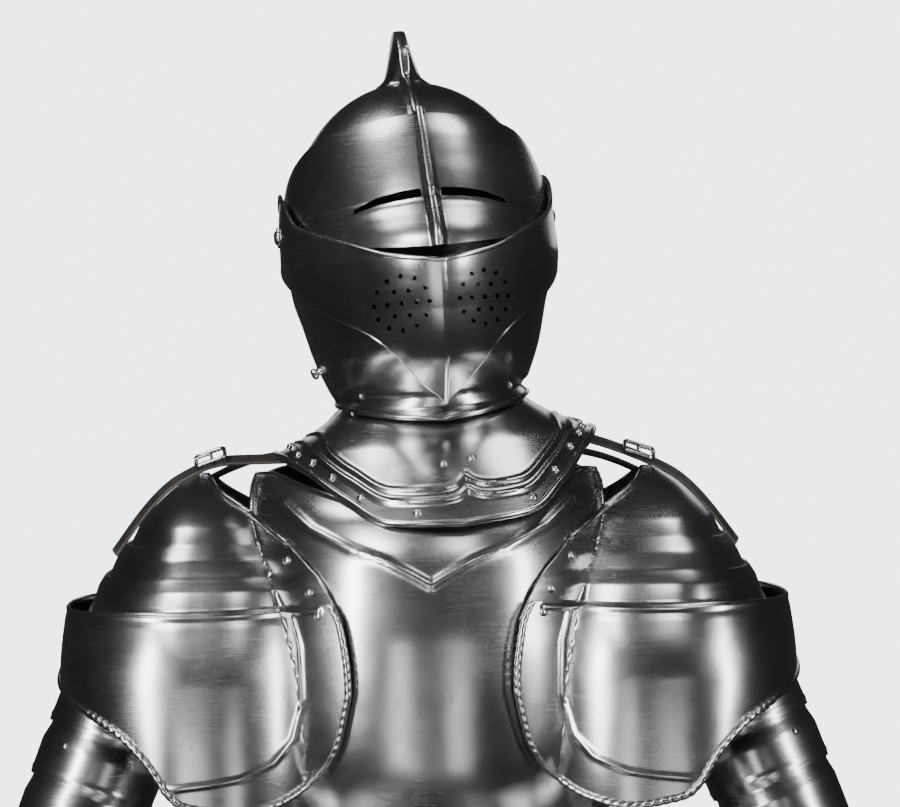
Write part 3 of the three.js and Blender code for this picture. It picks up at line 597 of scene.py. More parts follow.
def add_skull():
    piece = Piece()
    points, normals = patch(
        skull_form, rounds(120), crown(56), by_angle(SKULL_EDGE), level(PIVOT_Z + SKULL_RADIUS), closed=True
    )
    piece.shell(points, normals, closed=True)
    rings = []
    for angle in np.concatenate([fine(39, 75, 24), fine(75.5, 81, 11), fine(82, 165, 60)]):
        height = along(COMB, "angle", "height", angle)
        base = along(COMB, "angle", "base", angle)
        top = along(COMB, "angle", "top", angle)
        a = math.radians(angle)
        away = np.array([0, -math.cos(a), math.sin(a)])
        ring = []
        for share in np.concatenate([[-0.08], fine(0, 1, 10)]):
            ring.append((base + (top - base) * share ** 0.8 if share > 0 else base * 1.05, share))
        profile = [(w + 2.2 * max(0, 1 - s * 6) ** 2, s * height) for w, s in ring]
        profile[0] = (profile[0][0], -1.2)
        profile += [(top * 0.7, height + 0.5), (top * 0.25, height + 0.8)]
        right = [np.array([w, 0, PIVOT_Z]) + away * (SKULL_RADIUS + h) for w, h in profile]
        left = [np.array([-w, 0, PIVOT_Z]) + away * (SKULL_RADIUS + h) for w, h in reversed(profile)]
        rings.append(np.array(right + left))
    piece.loft(rings)
    back = [k for k in range(120) if abs(rounds(120)[k]) > 115]
    order = sorted(back, key=lambda k: rounds(120)[k] % 360)
    piece.tube(points[0][order] + 0.2 * normals[0][order], 1.9)
    for k in order[4:-3:7]:
        piece.rivet(points[2][k], normals[2][k], 2.6)
    piece.make("skull", "suit", "steel", STEEL, HEAD, nodes=["helmet_skull"])


FACE = table("z front", [
    (1500, 98), (1526, 99), (1540, 114), (1566, 141), (1597, 156), (1620, 163), (1640, 166), (1673, 150),
    (1705, 132),
])


def bevor_form(z):
    return {**skull_form(z), "front": along(FACE, "z", "front", z)}


def crease(u, height, half):
    return height * np.clip(1 - np.abs(u) / half, 0, 1) ** 1.5


def soft_crease(u, height, half):
    a = np.sqrt(u * u + 0.6)
    return height * np.clip(1 - a / half, 0, 1) ** 1.5


def breath_drills():
    """Two rosettes of nineteen holes, through both bevors."""
    drills = Piece()
    for side in (-1, 1):
        for count, radius in ((1, 0), (6, 11), (12, 21)):
            for k in range(count):
                a = 2 * math.pi * k / count
                x, z = side * (BREATHS_X + radius * math.cos(a)), BREATHS_Z + radius * math.sin(a)
                drills.lathe((x, -200, z), (0, 1, 0), [(BREATH_RADIUS, 0), (BREATH_RADIUS, 90)], 12)
    return drills


LOWER_BEVOR_FOOT = table("angle z", [(0, 1505), (25, 1510), (60, 1519), (88, 1524), (100, 1531), (112, 1531)])
LOWER_BEVOR_TOP = table("angle z", [(0, 1618), (60, 1640), (90, 1690), (112, 1668)])


def over_neck(points):
    """Flares the foot of the lower bevor over the neck lame."""
    z = points[..., 2]
    jaw, neck = bevor_form(z), form_of(NECK)(z)
    turn = np.degrees(np.arctan2(np.abs(points[..., 0]), -points[..., 1]))
    low = np.clip((1540 - z) / 12, 0, 1) * np.clip((100 - turn) / 8, 0, 1)
    low = low * low * (3 - 2 * low)
    x = points[..., 0] * (1 + low * ((neck["half"] - 2.7) / jaw["half"] - 1))
    y = points[..., 1] * (1 + low * ((neck["front"] - 2.7) / jaw["front"] - 1))
    return np.stack([x, y, z], -1)


def add_lower_bevor():
    piece = Piece()
    columns = fine(-112, 112, 160)
    points, normals = patch(
        bevor_form, columns, fine(0, 1, 80), by_angle(LOWER_BEVOR_FOOT), by_angle(LOWER_BEVOR_TOP),
        settle=over_neck,
        push=lambda u, z: HELMET_STEP + soft_crease(u, 7, 55) * np.clip((z - NECK_Z) / 40, 0.1, 1)
        + 2.6 * np.clip((np.abs(u) - 86) / 22, 0, 1) * np.clip((1650 - z) / 8, 0, 1),
    )
    piece.shell(points, normals)
    piece.tube((points[0] + 0.6 * normals[0])[14:-14], 2.1, 12)
    for angle in (-84, -70, -55, -38, -19, 14, 34, 52, 66, 79, 92):
        j, i = spot(points, columns, angle, 1518 + 26 * (abs(angle) / 90) ** 1.5)
        piece.rivet(points[j, i], normals[j, i], 3.6)
    plate = piece.make("lower_bevor_plate", "lower_bevor", "steel", STEEL, IDENTITY, nodes=["lower_bevor"])
    cut(plate, breath_drills(), "lower_drills")
    move_head(plate)
    knob = Piece()
    j, i = spot(points, columns, -88, 1556)
    knob.lathe(points[j, i] - 0.5 * normals[j, i], normals[j, i], [
        (3.2, 0), (3.2, 1.5), (2.6, 2.6), (4.6, 4), (5.2, 5.6), (4.8, 7.4), (3.2, 8.6), (1.2, 9),
    ])
    tip = points[j, i] + 2.2 * normals[j, i]
    knob.tube([tip + np.array([0.1 * s, s * 1.1, 0.5 * s]) for s in fine(0, 14, 8)], 1.6)
    knob.make("bevor_hook", "lower_bevor", "steel", FITTING_AND_HIGHLIGHT_STEEL, HEAD, soft_edge=0)


UPPER_BEVOR_TOP = table("angle z", [
    (0, 1634), (20, 1640), (40, 1653), (62, 1672), (78, 1697), (92, 1706), (104, 1694),
])
UPPER_BEVOR_FOOT = table("angle z", [(0, 1534), (10, 1546), (30, 1578), (52, 1600), (78, 1628), (104, 1655)])


def add_upper_bevor():
    piece = Piece()

    def push(u, z):
        share = np.clip((z - 1600) / 40, 0, 1)
        ridge = 0.5 * bead(u, 0, 0.5)
        return (2.5 + 0.8 * share) * HELMET_STEP + crease(u, 10, 38) + ridge

    columns = np.concatenate([fine(-104, -5, 90), fine(-4.4, 4.4, 22), fine(5, 104, 90)])
    points, normals = patch(
        bevor_form, columns, fine(0, 1, 90), by_angle(UPPER_BEVOR_FOOT), by_angle(UPPER_BEVOR_TOP), push=push
    )
    piece.shell(points, normals)
    plate = piece.make("upper_bevor_plate", "upper_bevor", "steel", STEEL, IDENTITY, nodes=["upper_bevor"])
    cut(plate, breath_drills(), "breath_drills")
    move_head(plate)
    rim = Piece()
    rim.tube(points[-1] + 0.4 * normals[-1], 2.1, 12)
    # Painted highlight: a thin bar of the lighter steel on the sharp foot edge, so that the edge shows as a
    # bright line where the plate has no bead.
    rim.tube(points[0] - 0.5 * normals[0], 0.9, 8)
    rim.make("upper_bevor_bead_and_highlight_bar", "upper_bevor", "steel", FITTING_AND_HIGHLIGHT_STEEL, HEAD, soft_edge=0)


def move_head(piece):
    """Turns a piece that was cut in the plain position into the head's place."""
    shift = Matrix.Translation((0, SHIFT, 0))
    scale = Matrix.Diagonal((MM, MM, MM, 1))
    piece.data.transform(shift @ scale @ HEAD @ scale.inverted() @ shift.inverted())


VISOR_FRONT = table("z front", [
    (1640, 161), (1650, 158), (1665, 148), (1680, 136), (1692, 130), (1703, 124.5), (1714, 118.6),
    (1726, 112.3), (1738, 105.6), (1752, 95.6), (1770, 77.2),
])


def visor_form(z):
    return {**skull_form(z), "front": along(VISOR_FRONT, "z", "front", z)}


VISOR_TOP = table("angle z", [(0, 1752), (30, 1750), (60, 1743), (78, 1728), (90, 1712), (102, 1694)])
VISOR_FOOT = table("angle z", [(0, 1641), (30, 1647), (60, 1659), (84, 1666), (102, 1660)])
SIGHT = ((8, 7.5, 4), (24, 7.5, 3), (44, 6.5, 0), (62, 3.5, -6))


def add_visor():
    def push(u, z):
        sink = 0.45 + 0.55 * np.clip((z - 1645) / 35, 0, 1)
        keel = 7 * sink * np.clip((3.2 - np.abs(u)) / 2.2, 0, 1)
        lip = 1.2 * bead(z - 1678, 2 * bead(u, 0, 30), 3.2) * (np.abs(u) < 62)
        sides = 0.7 * np.clip((np.abs(u) - 60) / 15, 0, 1)
        return 2 * HELMET_STEP + keel + soft_crease(u, 4, 40) + lip + sides

    columns = np.concatenate([fine(-102, -5, 90), fine(-4.4, 4.4, 16), fine(5, 102, 90)])
    points, normals = patch(
        visor_form, columns, fine(0, 1, 70), by_angle(VISOR_FOOT), by_angle(VISOR_TOP), push=push
    )
    plate = Piece().shell(points, normals)
    plate = plate.make("visor_plate", "visor", "steel", STEEL, IDENTITY, nodes=["visor"])
    cutter = Piece()
    for side in (-1, 1):
        rings = []
        for x, height, lift in SIGHT:
            z = SIGHT_Z + lift
            h = height / 2
            corners = ((-70, z - h), (-190, z - h), (-190, z + h), (-70, z + h))
            rings.append(np.array([(side * x, y, level_z) for y, level_z in corners]))
        cutter.loft(rings)
    cut(plate, cutter, "sight_cutter")
    move_head(plate)


NECK = table(SECTION, [
    (1500, 108, 107, 106), (1510, 97, 101, 98), (1518, 88, 97, 90), (1526, 79.6, 97, 83.5),
    (1534, 76.8, 100, 80.5),
])
NECK_FRONT_RIM = table("angle z", [(0, 1503), (25, 1508), (60, 1517), (95, 1522)])
GORGET = table(SECTION, [
    (1400, 178, 180, 152), (1424, 169, 164, 140), (1450, 157, 145, 126), (1486, 138, 115, 108),
    (1506, 101, 98, 93), (1518, 83.5, 92, 84), (1526, 75.5, 89, 77), (1545, 72, 87, 74),
])
GORGET_RIM = table("angle z", [(0, 1424), (20, 1429), (33, 1448), (53, 1474), (75, 1486), (92, 1488)])
GORGET_COLLAR = table("angle z", [(0, 1512), (25, 1518), (60, 1526), (92, 1530)])


def grown(form, by):
    def wider(z):
        s = form(z)
        return {**s, **{k: s[k] + by for k in ("half", "inner", "front", "back")}}

    return wider


def add_neck():
    front = Piece()
    points, normals = patch(
        grown(form_of(NECK), -1.9), fine(-92, 92, 120), fine(0, 1, 16),
        lambda u: by_angle(NECK_FRONT_RIM)(u) + 6, level(1531),
    )
    front.shell(points, normals, 0.8)
    front.make("front_neck_lame", "lower_bevor", "steel", STEEL, HEAD, nodes=["neck_lame_front"])
    back = Piece()
    points, normals = patch(
        grown(form_of(NECK), -STEP - SEAT), fine(-81, 81, 90), fine(0, 1, 12), level(1512), level(1533),
        middle=180,
    )
    back.shell(points, normals)
    back.make("back_neck_lame", "suit", "steel", STEEL, HEAD, nodes=["neck_lame_back"])
    for side, name in ((-1, "right"), (1, "left")):
        pivot = Piece()
        start = SKULL_HALF_WIDTH + 3.3 * HELMET_STEP + SEAT
        pivot.lathe((side * start, 0, PIVOT_Z), (side, 0, 0), [
            (9, 0), (9, 1.1), (8.6, 1.6), (7.2, 1.9), (6.2, 2.0), (5.6, 3.1), (4.2, 3.9), (2, 4.3),
            (0.4, 4.4),
        ], 28)
        nodes = [f"temple_pivot_{name}"]
        pivot.make(f"pivot_head_{name}", "suit", "steel", FITTING_AND_HIGHLIGHT_STEEL, HEAD, nodes=nodes, soft_edge=0)


def gorget_line(offset, notch):
    angles = fine(-90, 90, 120)
    z = by_angle(GORGET_RIM)(angles) + offset * (1 - 0.45 * (np.abs(angles) / 90) ** 2)
    z = z + notch * np.exp(-np.abs(angles - 3) / 3.2)
    return section_point(form_of(GORGET)(z), angles, z)


def add_gorget():
    front = Piece()
    points, normals = patch(
        form_of(GORGET), fine(-92, 92, 260), fine(0, 1, 64), by_angle(GORGET_RIM), by_angle(GORGET_COLLAR)
    )
    lines = [gorget_line(26, 11), gorget_line(17, 9)]
    points, normals = ridged(points, normals, lines, 1.7, 2.4)
    front.shell(points, normals)
    front.tube(points[0] + 0.8 * normals[0], 3.1, 14)
    front.tube(points[-1] + 0.2 * normals[-1], 1.7, 10)
    columns = fine(-92, 92, 260)
    for angle in (-86, -74, -62, -51, -40, -29, -12, 22, 34, 46, 57, 68, 80, 90):
        i = int(np.argmin(np.abs(columns - angle)))
        j, i = spot(points, columns, angle, points[0, i, 2] + (8.5 if abs(angle) < 60 else 7))
        front.rivet(points[j, i], normals[j, i], 3.7)
    for angle, z in ((-2.5, 1472), (6.5, 1474), (-60, 1519), (58, 1519)):
        j, i = spot(points, columns, angle, z)
        front.rivet(points[j, i], normals[j, i], 3.7)
    front.make("gorget_front_plate", "suit", "steel", STEEL, HEAD, nodes=["gorget_front"])
    back = Piece()
    points, normals = patch(
        form_of(GORGET), fine(-90, 90, 140), fine(0, 1, 24),
        lambda u: 1470 + 20 * np.minimum(1, (u / 70) ** 2), level(1528), middle=180,
        push=lambda u, z: -STEP - GAP + 0 * z,
    )
    back.shell(points, normals).tube(points[0] + 0.8 * normals[0], 2.6, 12)
    back.rivets((points, normals), [(s, 0.16) for s in fine(0.06, 0.94, 9)], 3.2)
    back.make("gorget_back_plate", "suit", "steel", STEEL, HEAD, nodes=["gorget_back"])


# Body
TORSO = table(SECTION, [
    (1080, 136, 122, 108), (1110, 137, 126, 108), (1160, 150, 148, 114), (1250, 170, 172, 126),
    (1330, 174, 176, 134), (1390, 166, 168, 132), (1424, 160, 153, 122), (1448, 153, 129, 108),
    (1464, 144, 94, 76),
])
torso_form = form_of(TORSO, square=2.2)
ARM_OPENING = table("z reach", [
    (1080, 89.92), (1180, 89.92), (1250, 76), (1330, 62), (1400, 60), (1440, 68), (1464, 80),
])
BREAST_TOP = table("angle z", [(0, 1435), (0.3, 1441), (0.5, 1451), (0.8, 1463), (1, 1462)])


def arm_opening(z):
    return along(ARM_OPENING, "z", "reach", z)


def add_torso():
    breast = Piece()
    points, normals = patch(
        torso_form, fine(-1, 1, 220), fine(0, 1, 170), level(1082), by_angle(BREAST_TOP), reach=arm_opening
    )
    v_line = table("x z", [(0, 1377), (12, 1384), (35, 1396), (62, 1405), (95, 1421), (118, 1440)])
    x = fine(0, 118, 40)
    z = np.interp(x, v_line["x"], v_line["z"])
    right = front_point(torso_form, x, z)
    lines = [right, right * [-1, 1, 1]]
    points, normals = ridged(points, normals, lines, 2.6, 3.4)
    breast.shell(points, normals)
    for column in (0, -1):
        path = (points[:, column] + 0.8 * normals[:, column])[points[:, 0, 2] > ARM_BORDER_FOOT]
        breast.tube(path, 3.0, 12, rope=0.09, pitch=8)
    breast.tube(points[-1] + 0.6 * normals[-1], 2.4, 12)
    breast.tube(points[0] + 0.4 * normals[0], 2.2, 12)
    breast.make("breast_plate", "suit", "steel", STEEL, nodes=["breastplate"])
    back = Piece()
    points, normals = patch(
        torso_form, fine(-1, 1, 150), fine(0, 1, 110), level(1084), lambda u: 1475 - 18 * u * u, middle=180,
        reach=arm_opening,
        push=lambda u, z: -2.2 * bead(u, 0, 0.07) * np.clip((1400 - z) / 80, 0, 1),
    )
    back.shell(points, normals)
    for column in (0, -1):
        path = (points[:, column] + 0.8 * normals[:, column])[points[:, 0, 2] > ARM_BORDER_FOOT]
        back.tube(path, 2.8, 12)
    back.tube(points[-1] + 0.6 * normals[-1], 2.2, 12)
    back.make("back_plate", "suit", "steel", STEEL, nodes=["backplate"])


HIPS = table(SECTION, [
    (760, 187, 160, 150), (860, 190, 172, 158), (955, 186, 168, 160), (1000, 170, 158, 146),
    (1050, 149, 137, 125), (1080, 137, 123, 107), (1100, 131, 117, 101),
])
hip_form = form_of(HIPS, square=2.2)


def add_skirt():
    for name, bottom, cover, top in (
        ("1", 1052, 1082, 1098), ("2", 1006, 1052, 1062), ("3", 958, 1006, 1016),
    ):
        lame = Piece()
        grid = patch(
            hip_form, fine(-89.7, 89.7, 130), fine(0, 1, 30), level(bottom), level(top),
            push=lambda u, z: tucked_under(cover)(u, z) + 1.0 * bead(z - bottom, 7, 2.2),
        )
        lame.shell(*grid)
        lame.rivets(grid, [(s, 0.55) for s in (0.03, 0.25, 0.75, 0.97)], 3.0)
        lame.make(f"fauld_{name}", "suit", "steel", STEEL, nodes=[f"fauld_lame_{name}"])
    culet = Piece()
    points, normals = patch(
        hip_form, fine(-89.3, 89.3, 130), fine(0, 1, 50), level(985), level(1098), middle=180,
        push=lambda u, z: tucked_under(1084)(u, z) + lamed(z, (985, 1025, 1062, 1098), 1.0),
    )
    culet.shell(points, normals).tube(points[0] + 0.5 * normals[0], 2.2, 12)
    culet.rivets((points, normals), [(s, h) for h in (0.27, 0.6) for s in (0.06, 0.5, 0.94)], 3.0)
    culet.make("culet_plate", "suit", "steel", STEEL, nodes=["culet"])


CUISSE = table(SECTION, [(540, 66, 70, 66), (640, 70, 78, 74), (760, 76, 88, 82), (840, 85.4, 96.8, 88)])
POLEYN = table(SECTION, [
    (448, 63.4, 65.4, 64.4), (480, 73, 78, 70), (515, 79, 92, 74), (548, 75, 84, 72),
    (582, 70.3, 74.4, 70.3),
])
GREAVE = table(SECTION, [
    (3, 40, 46, 52), (60, 42, 50, 52), (110, 43, 50, 50), (180, 48, 50, 54), (300, 60, 58, 72),
    (380, 64, 62, 74), (465, 61, 63, 62),
])
GREAVE_FOOT = table("angle z", [(0, 92), (50, 58), (80, 18), (100, 3.4), (180, 3.4)])
SABATON = table(SECTION, [
    (56.8, 50, 90, 50), (80, 52, 76, 50), (120, 54, 58, 50), (165, 52, 47, 50), (195, 42, 38, 50),
    (212, 22, 24, 50), (217, 0, 0, 50),
])


def frame_at(origin, axis, facing):
    """A frame at an origin, with +Z along an axis and its front turned to face a direction."""
    z = axis.normalized()
    y = -(facing - z * facing.dot(z)).normalized()
    x = y.cross(z)
    turn = Matrix((x, y, z)).transposed().to_4x4()
    return Matrix.Translation(origin) @ turn


def add_leg(side, name):
    def finish(piece, label, node, slot="steel", material=STEEL, matrix=IDENTITY, edge=0.35):
        piece.make(f"{label}_{name}", "suit", slot, material, matrix, side, [f"{node}_{name}"], edge)

    tasset = Piece()
    points, normals = patch(
        hip_form, fine(4, 90, 80), fine(0, 1, 100), level(775), level(972),
        push=lambda u, z: tucked_under(957, 1.95 * STEP)(u, z),
    )
    border = [points[6, 6:-6], points[6:-24, 6], points[6:-24, -7]]
    points, normals = ridged(points, normals, [b[::2] for b in border], 1.6, 2.4)
    tasset.shell(points, normals)
    tasset.tube(points[0] + 0.5 * normals[0], 2.3, 12)
    tasset.rivets((points, normals), [(s, 0.86) for s in (0.1, 0.5, 0.9)], 3.2)
    finish(tasset, "tasset_plate", "tasset")

    cuisse = Piece()
    points, normals = patch(
        form_of(CUISSE, x=THIGH_X), fine(-108, 108, 110), fine(0, 1, 90), level(552),
        lambda a: 872 - 0.004 * a * a,
        push=lambda u, z: crease(u, 2.5, 26) * np.clip((z - 560) / 60, 0, 1),
    )
    cuisse.shell(points, normals)
    cuisse.tube(points[-1] + 0.5 * normals[-1], 2.4, 12)
    for column in (0, -1):
        cuisse.tube(points[:, column] + 0.4 * normals[:, column], 1.8)
    finish(cuisse, "cuisse_plate", "cuisse")

    poleyn = Piece()
    points, normals = patch(
        form_of(POLEYN, x=THIGH_X), fine(-108, 108, 120), fine(0, 1, 80), level(450), level(580),
        push=lambda u, z: crease(u, 3.5, 30)
        + lamed(-z, (-580, -556, -538), 0.9)
        + lamed(z, (450, 474, 492), 0.9),
    )
    poleyn.shell(points, normals)
    poleyn.rivets((points, normals), [(s, h) for h in (0.1, 0.5, 0.9) for s in (0.08, 0.92)], 3.2)
    finish(poleyn, "poleyn_plate", "poleyn")

    greave = Piece()
    points, normals = patch(
        form_of(GREAVE, x=THIGH_X), rounds(120), fine(0, 1, 110), by_angle(GREAVE_FOOT), level(465),
        push=lambda u, z: 1.6 * bead(u, 0, 5) * np.clip((z - 120) / 40, 0, 1), closed=True,
    )
    seams = [points[4:-4:2, k] for k in (30, 90)]
    points, normals = ridged(points, normals, seams, -0.9, 1.6, closed=True)
    greave.shell(points, normals, closed=True)
    greave.tube(points[-1] + 0.4 * normals[-1], 1.8, closed=True)
    for k, up in ((30, 0.12), (30, 0.5), (30, 0.88)):
        j = int(up * 110)
        greave.rivet(points[j, k + 2], normals[j, k + 2], 2.8)
    finish(greave, "greave_plate", "greave")

    foot = frame_at(Vector((THIGH_X, 6, 3 + SEAT)), Vector((0, -1, 0)), Vector((0, 0, 1)))
    sabaton = Piece()
    steps = (56.8, 78, 98, 118, 138, 158, 176, 217)
    rows = np.concatenate([fine(0, 0.9, 100), 1 - 0.1 * (1 - crown(12)[1:])])
    points, normals = patch(
        form_of(SABATON), fine(-90, 90, 80), rows, level(56.8), level(217),
        push=lambda u, z: lamed(-z, tuple(-s for s in reversed(steps)), 1.1) * (z < 176),
    )
    sabaton.shell(points, normals)
    finish(sabaton, "sabaton_plate", "sabaton", matrix=foot)

    sole = Piece()
    shape = {"x": THIGH_X, "y": SOLE_Y, "square": 2.6, "half": 56, "inner": 56, "front": 138, "back": 138}
    rings = []
    for inset, z in ((0.8, 0), (0, 0.5), (0, 2.5), (0.8, 3)):
        s = {**shape, **{k: shape[k] - inset for k in ("half", "inner", "front", "back")}}
        rings.append(section_point(s, rounds(72), z))
    sole.loft(rings)
    finish(sole, "sole_sheet", "sole", "sole_leather", SOLE_LEATHER, edge=0)


# Shoulders
PAULDRON = table("z half front back inner", [
    (1345, 107, 164, 120, 134), (1378, 88, 142, 108, 116), (1405, 69, 116, 94, 96),
    (1430, 50, 86, 74, 70), (1450, 30, 48, 44, 42), (1464, 8, 10, 10, 8),
])
WING = table("z half front back inner", [
    (1180, 102, 176, 112, 130), (1240, 115, 180, 122, 135), (1300, 124, 178, 126, 135),
    (1345, 120, 164, 120, 130), (1378, 109, 142, 108, 113),
])
PAULDRON_REACH = table("z reach", [
    (1180, 152), (1300, 152), (1370, 150), (1405, 142), (1420, 133), (1436, 119), (1450, 104), (1464, 95),
])
MAIN_PLATE_EDGE = table("u z", [
    (-1, 1292), (-0.93, 1246), (-0.85, 1223), (-0.75, 1207), (-0.66, 1202), (-0.57, 1210), (-0.49, 1246),
    (-0.42, 1266), (-0.31, 1280), (-0.2, 1288), (-0.06, 1298), (0.04, 1306), (0.14, 1300), (0.33, 1262),
    (0.5, 1238), (0.65, 1230), (0.8, 1240), (0.92, 1262), (1, 1300),
])
pauldron_form = form_of(PAULDRON, x=PAULDRON_X, square=2.4)
wing_form = form_of(WING, x=PAULDRON_X, square=2.4)


def pauldron_reach(z):
    return along(PAULDRON_REACH, "z", "reach", z)


def clear_of_torso(points):
    s = torso_form(points[..., 2])
    share = np.clip(np.abs(points[..., 0]) / s["half"], 0, 1)
    part = (1 - share ** s["square"]) ** (1 / s["square"])
    depth = np.where(points[..., 1] < 0, s["front"], s["back"])
    limit = depth * part + 8.5
    inside = (share < 1) & (np.abs(points[..., 1]) < limit)
    y = np.where(inside, np.sign(points[..., 1]) * limit, points[..., 1])
    return np.stack([points[..., 0], y, points[..., 2]], -1)


def add_pauldron(side, name):
    def finish(piece, label, node, edge=0.35):
        piece.make(f"{label}_{name}", "suit", "steel", STEEL, IDENTITY, side, [f"{node}_{name}"], edge)

    for label, bottom, cover, top in (
        ("cap", 1398, 1407, 1464), ("lame_1", 1373, 1382, 1407), ("lame_2", 1349, 1358, 1382),
    ):
        lame = Piece()
        rows = 40 if label == "cap" else 22
        points, normals = patch(
            pauldron_form, fine(-1, 1, 200), fine(0, 1, rows), level(bottom), level(top), 90,
            pauldron_reach, tucked_over(cover, 1.3 * STEP), clear_of_torso,
        )
        lame.shell(points, normals)
        if label == "cap":
            path = (points[:, 0] + 0.7 * normals[:, 0])[8:-3]
            lame.tube(path, 2.3, 12, rope=0.1, pitch=6)
            path = (points[:, -1] + 0.7 * normals[:, -1])[8:-3]
            lame.tube(path, 2.0, 12)
        else:
            j = int(0.72 * rows)
            for i in (9, 191):
                lame.rivet(points[j, i], normals[j, i], 3.7)
        finish(lame, f"pauldron_{label}", f"pauldron_{label}")

    main = Piece()
    across = 330
    points, normals = patch(
        wing_form, fine(-1, 1, across), fine(0, 1, 120), lambda u: along(MAIN_PLATE_EDGE, "u", "z", u),
        lambda u: 1357 + 6 * u * u, 90, pauldron_reach, None, clear_of_torso,
    )
    crescent = table("x z", [
        (110, 1352), (104, 1330), (103, 1288), (111, 1257), (126, 1240), (152, 1229), (172, 1226),
        (209, 1222),
    ])
    share = fine(0, 7, 42)
    x = np.interp(share, range(8), crescent["x"])
    z = np.interp(share, range(8), crescent["z"])
    line = clear_of_torso(front_point(wing_form, x, z))
    points, normals = ridged(points, normals, [line, points[-5, 12:-12:4]], 1.3, 2.2)
    main.shell(points, normals)
    low = int(across * 0.34)
    path = np.concatenate([(points[:, 0] + normals[:, 0])[::-1], (points[0] + normals[0])[1:low]])
    main.tube(smooth_path(path), 2.9, 12, rope=0.1, pitch=7)
    lower_edge, back_edge = points[0] + 0.5 * normals[0], points[:, -1] + 0.5 * normals[:, -1]
    path = np.concatenate([lower_edge[low - 1:], back_edge[1:]])
    main.tube(smooth_path(path), 2.2, 10)
    for j, i in ((112, 14), (112, 316), (18, across // 2)):
        main.rivet(points[j, i], normals[j, i], 3.7)
    finish(main, "pauldron_wing", "pauldron_main")


def smooth_path(path, step=1.2):
    """The same line with points at an even spacing."""
    walked = np.concatenate([[0], np.cumsum(np.linalg.norm(np.diff(path, axis=0), axis=1))])
    places = np.linspace(0, walked[-1], max(4, int(walked[-1] / step)))
    return np.stack([np.interp(places, walked, path[:, k]) for k in range(3)], -1)


# Arms
UPPER_ARM = table(SECTION, [
    (30, 50, 50, 50), (80, 52, 52, 52), (140, 54, 54, 54), (190, 54, 54, 54), (246, 57, 57, 57),
])
FOREARM = table(SECTION, [
    (36, 46, 46, 46), (100, 46, 46, 46), (160, 40, 40, 40), (225, 33, 33, 33), (270, 33, 33, 33),
])
CUFF = table(SECTION, [
    (130, 62, 60, 62), (160, 52, 51, 52), (195, 42, 42, 42), (222, 36.4, 36.4, 36.4), (262, 39, 39, 39),
])
HAND = table(SECTION, [(260, 39, 39, 39), (276, 42, 25, 30), (310, 45, 24, 29), (362, 44, 24, 30)])
MITTEN = table(SECTION, [(-42, 26, 26, 26), (-20, 30, 30, 26), (20, 30, 30, 26), (42, 26, 26, 26)])


def bend_cut(start, depth):
    return lambda a: start + depth * (0.5 + 0.5 * np.cos(np.radians(a))) ** 1.5


def sphere_form(z):
    radius = np.sqrt(np.maximum(0, COUTER_RADIUS ** 2 - z * z))
    return {"x": 0, "y": 0, "square": 2, "half": radius, "inner": radius, "front": radius, "back": radius}


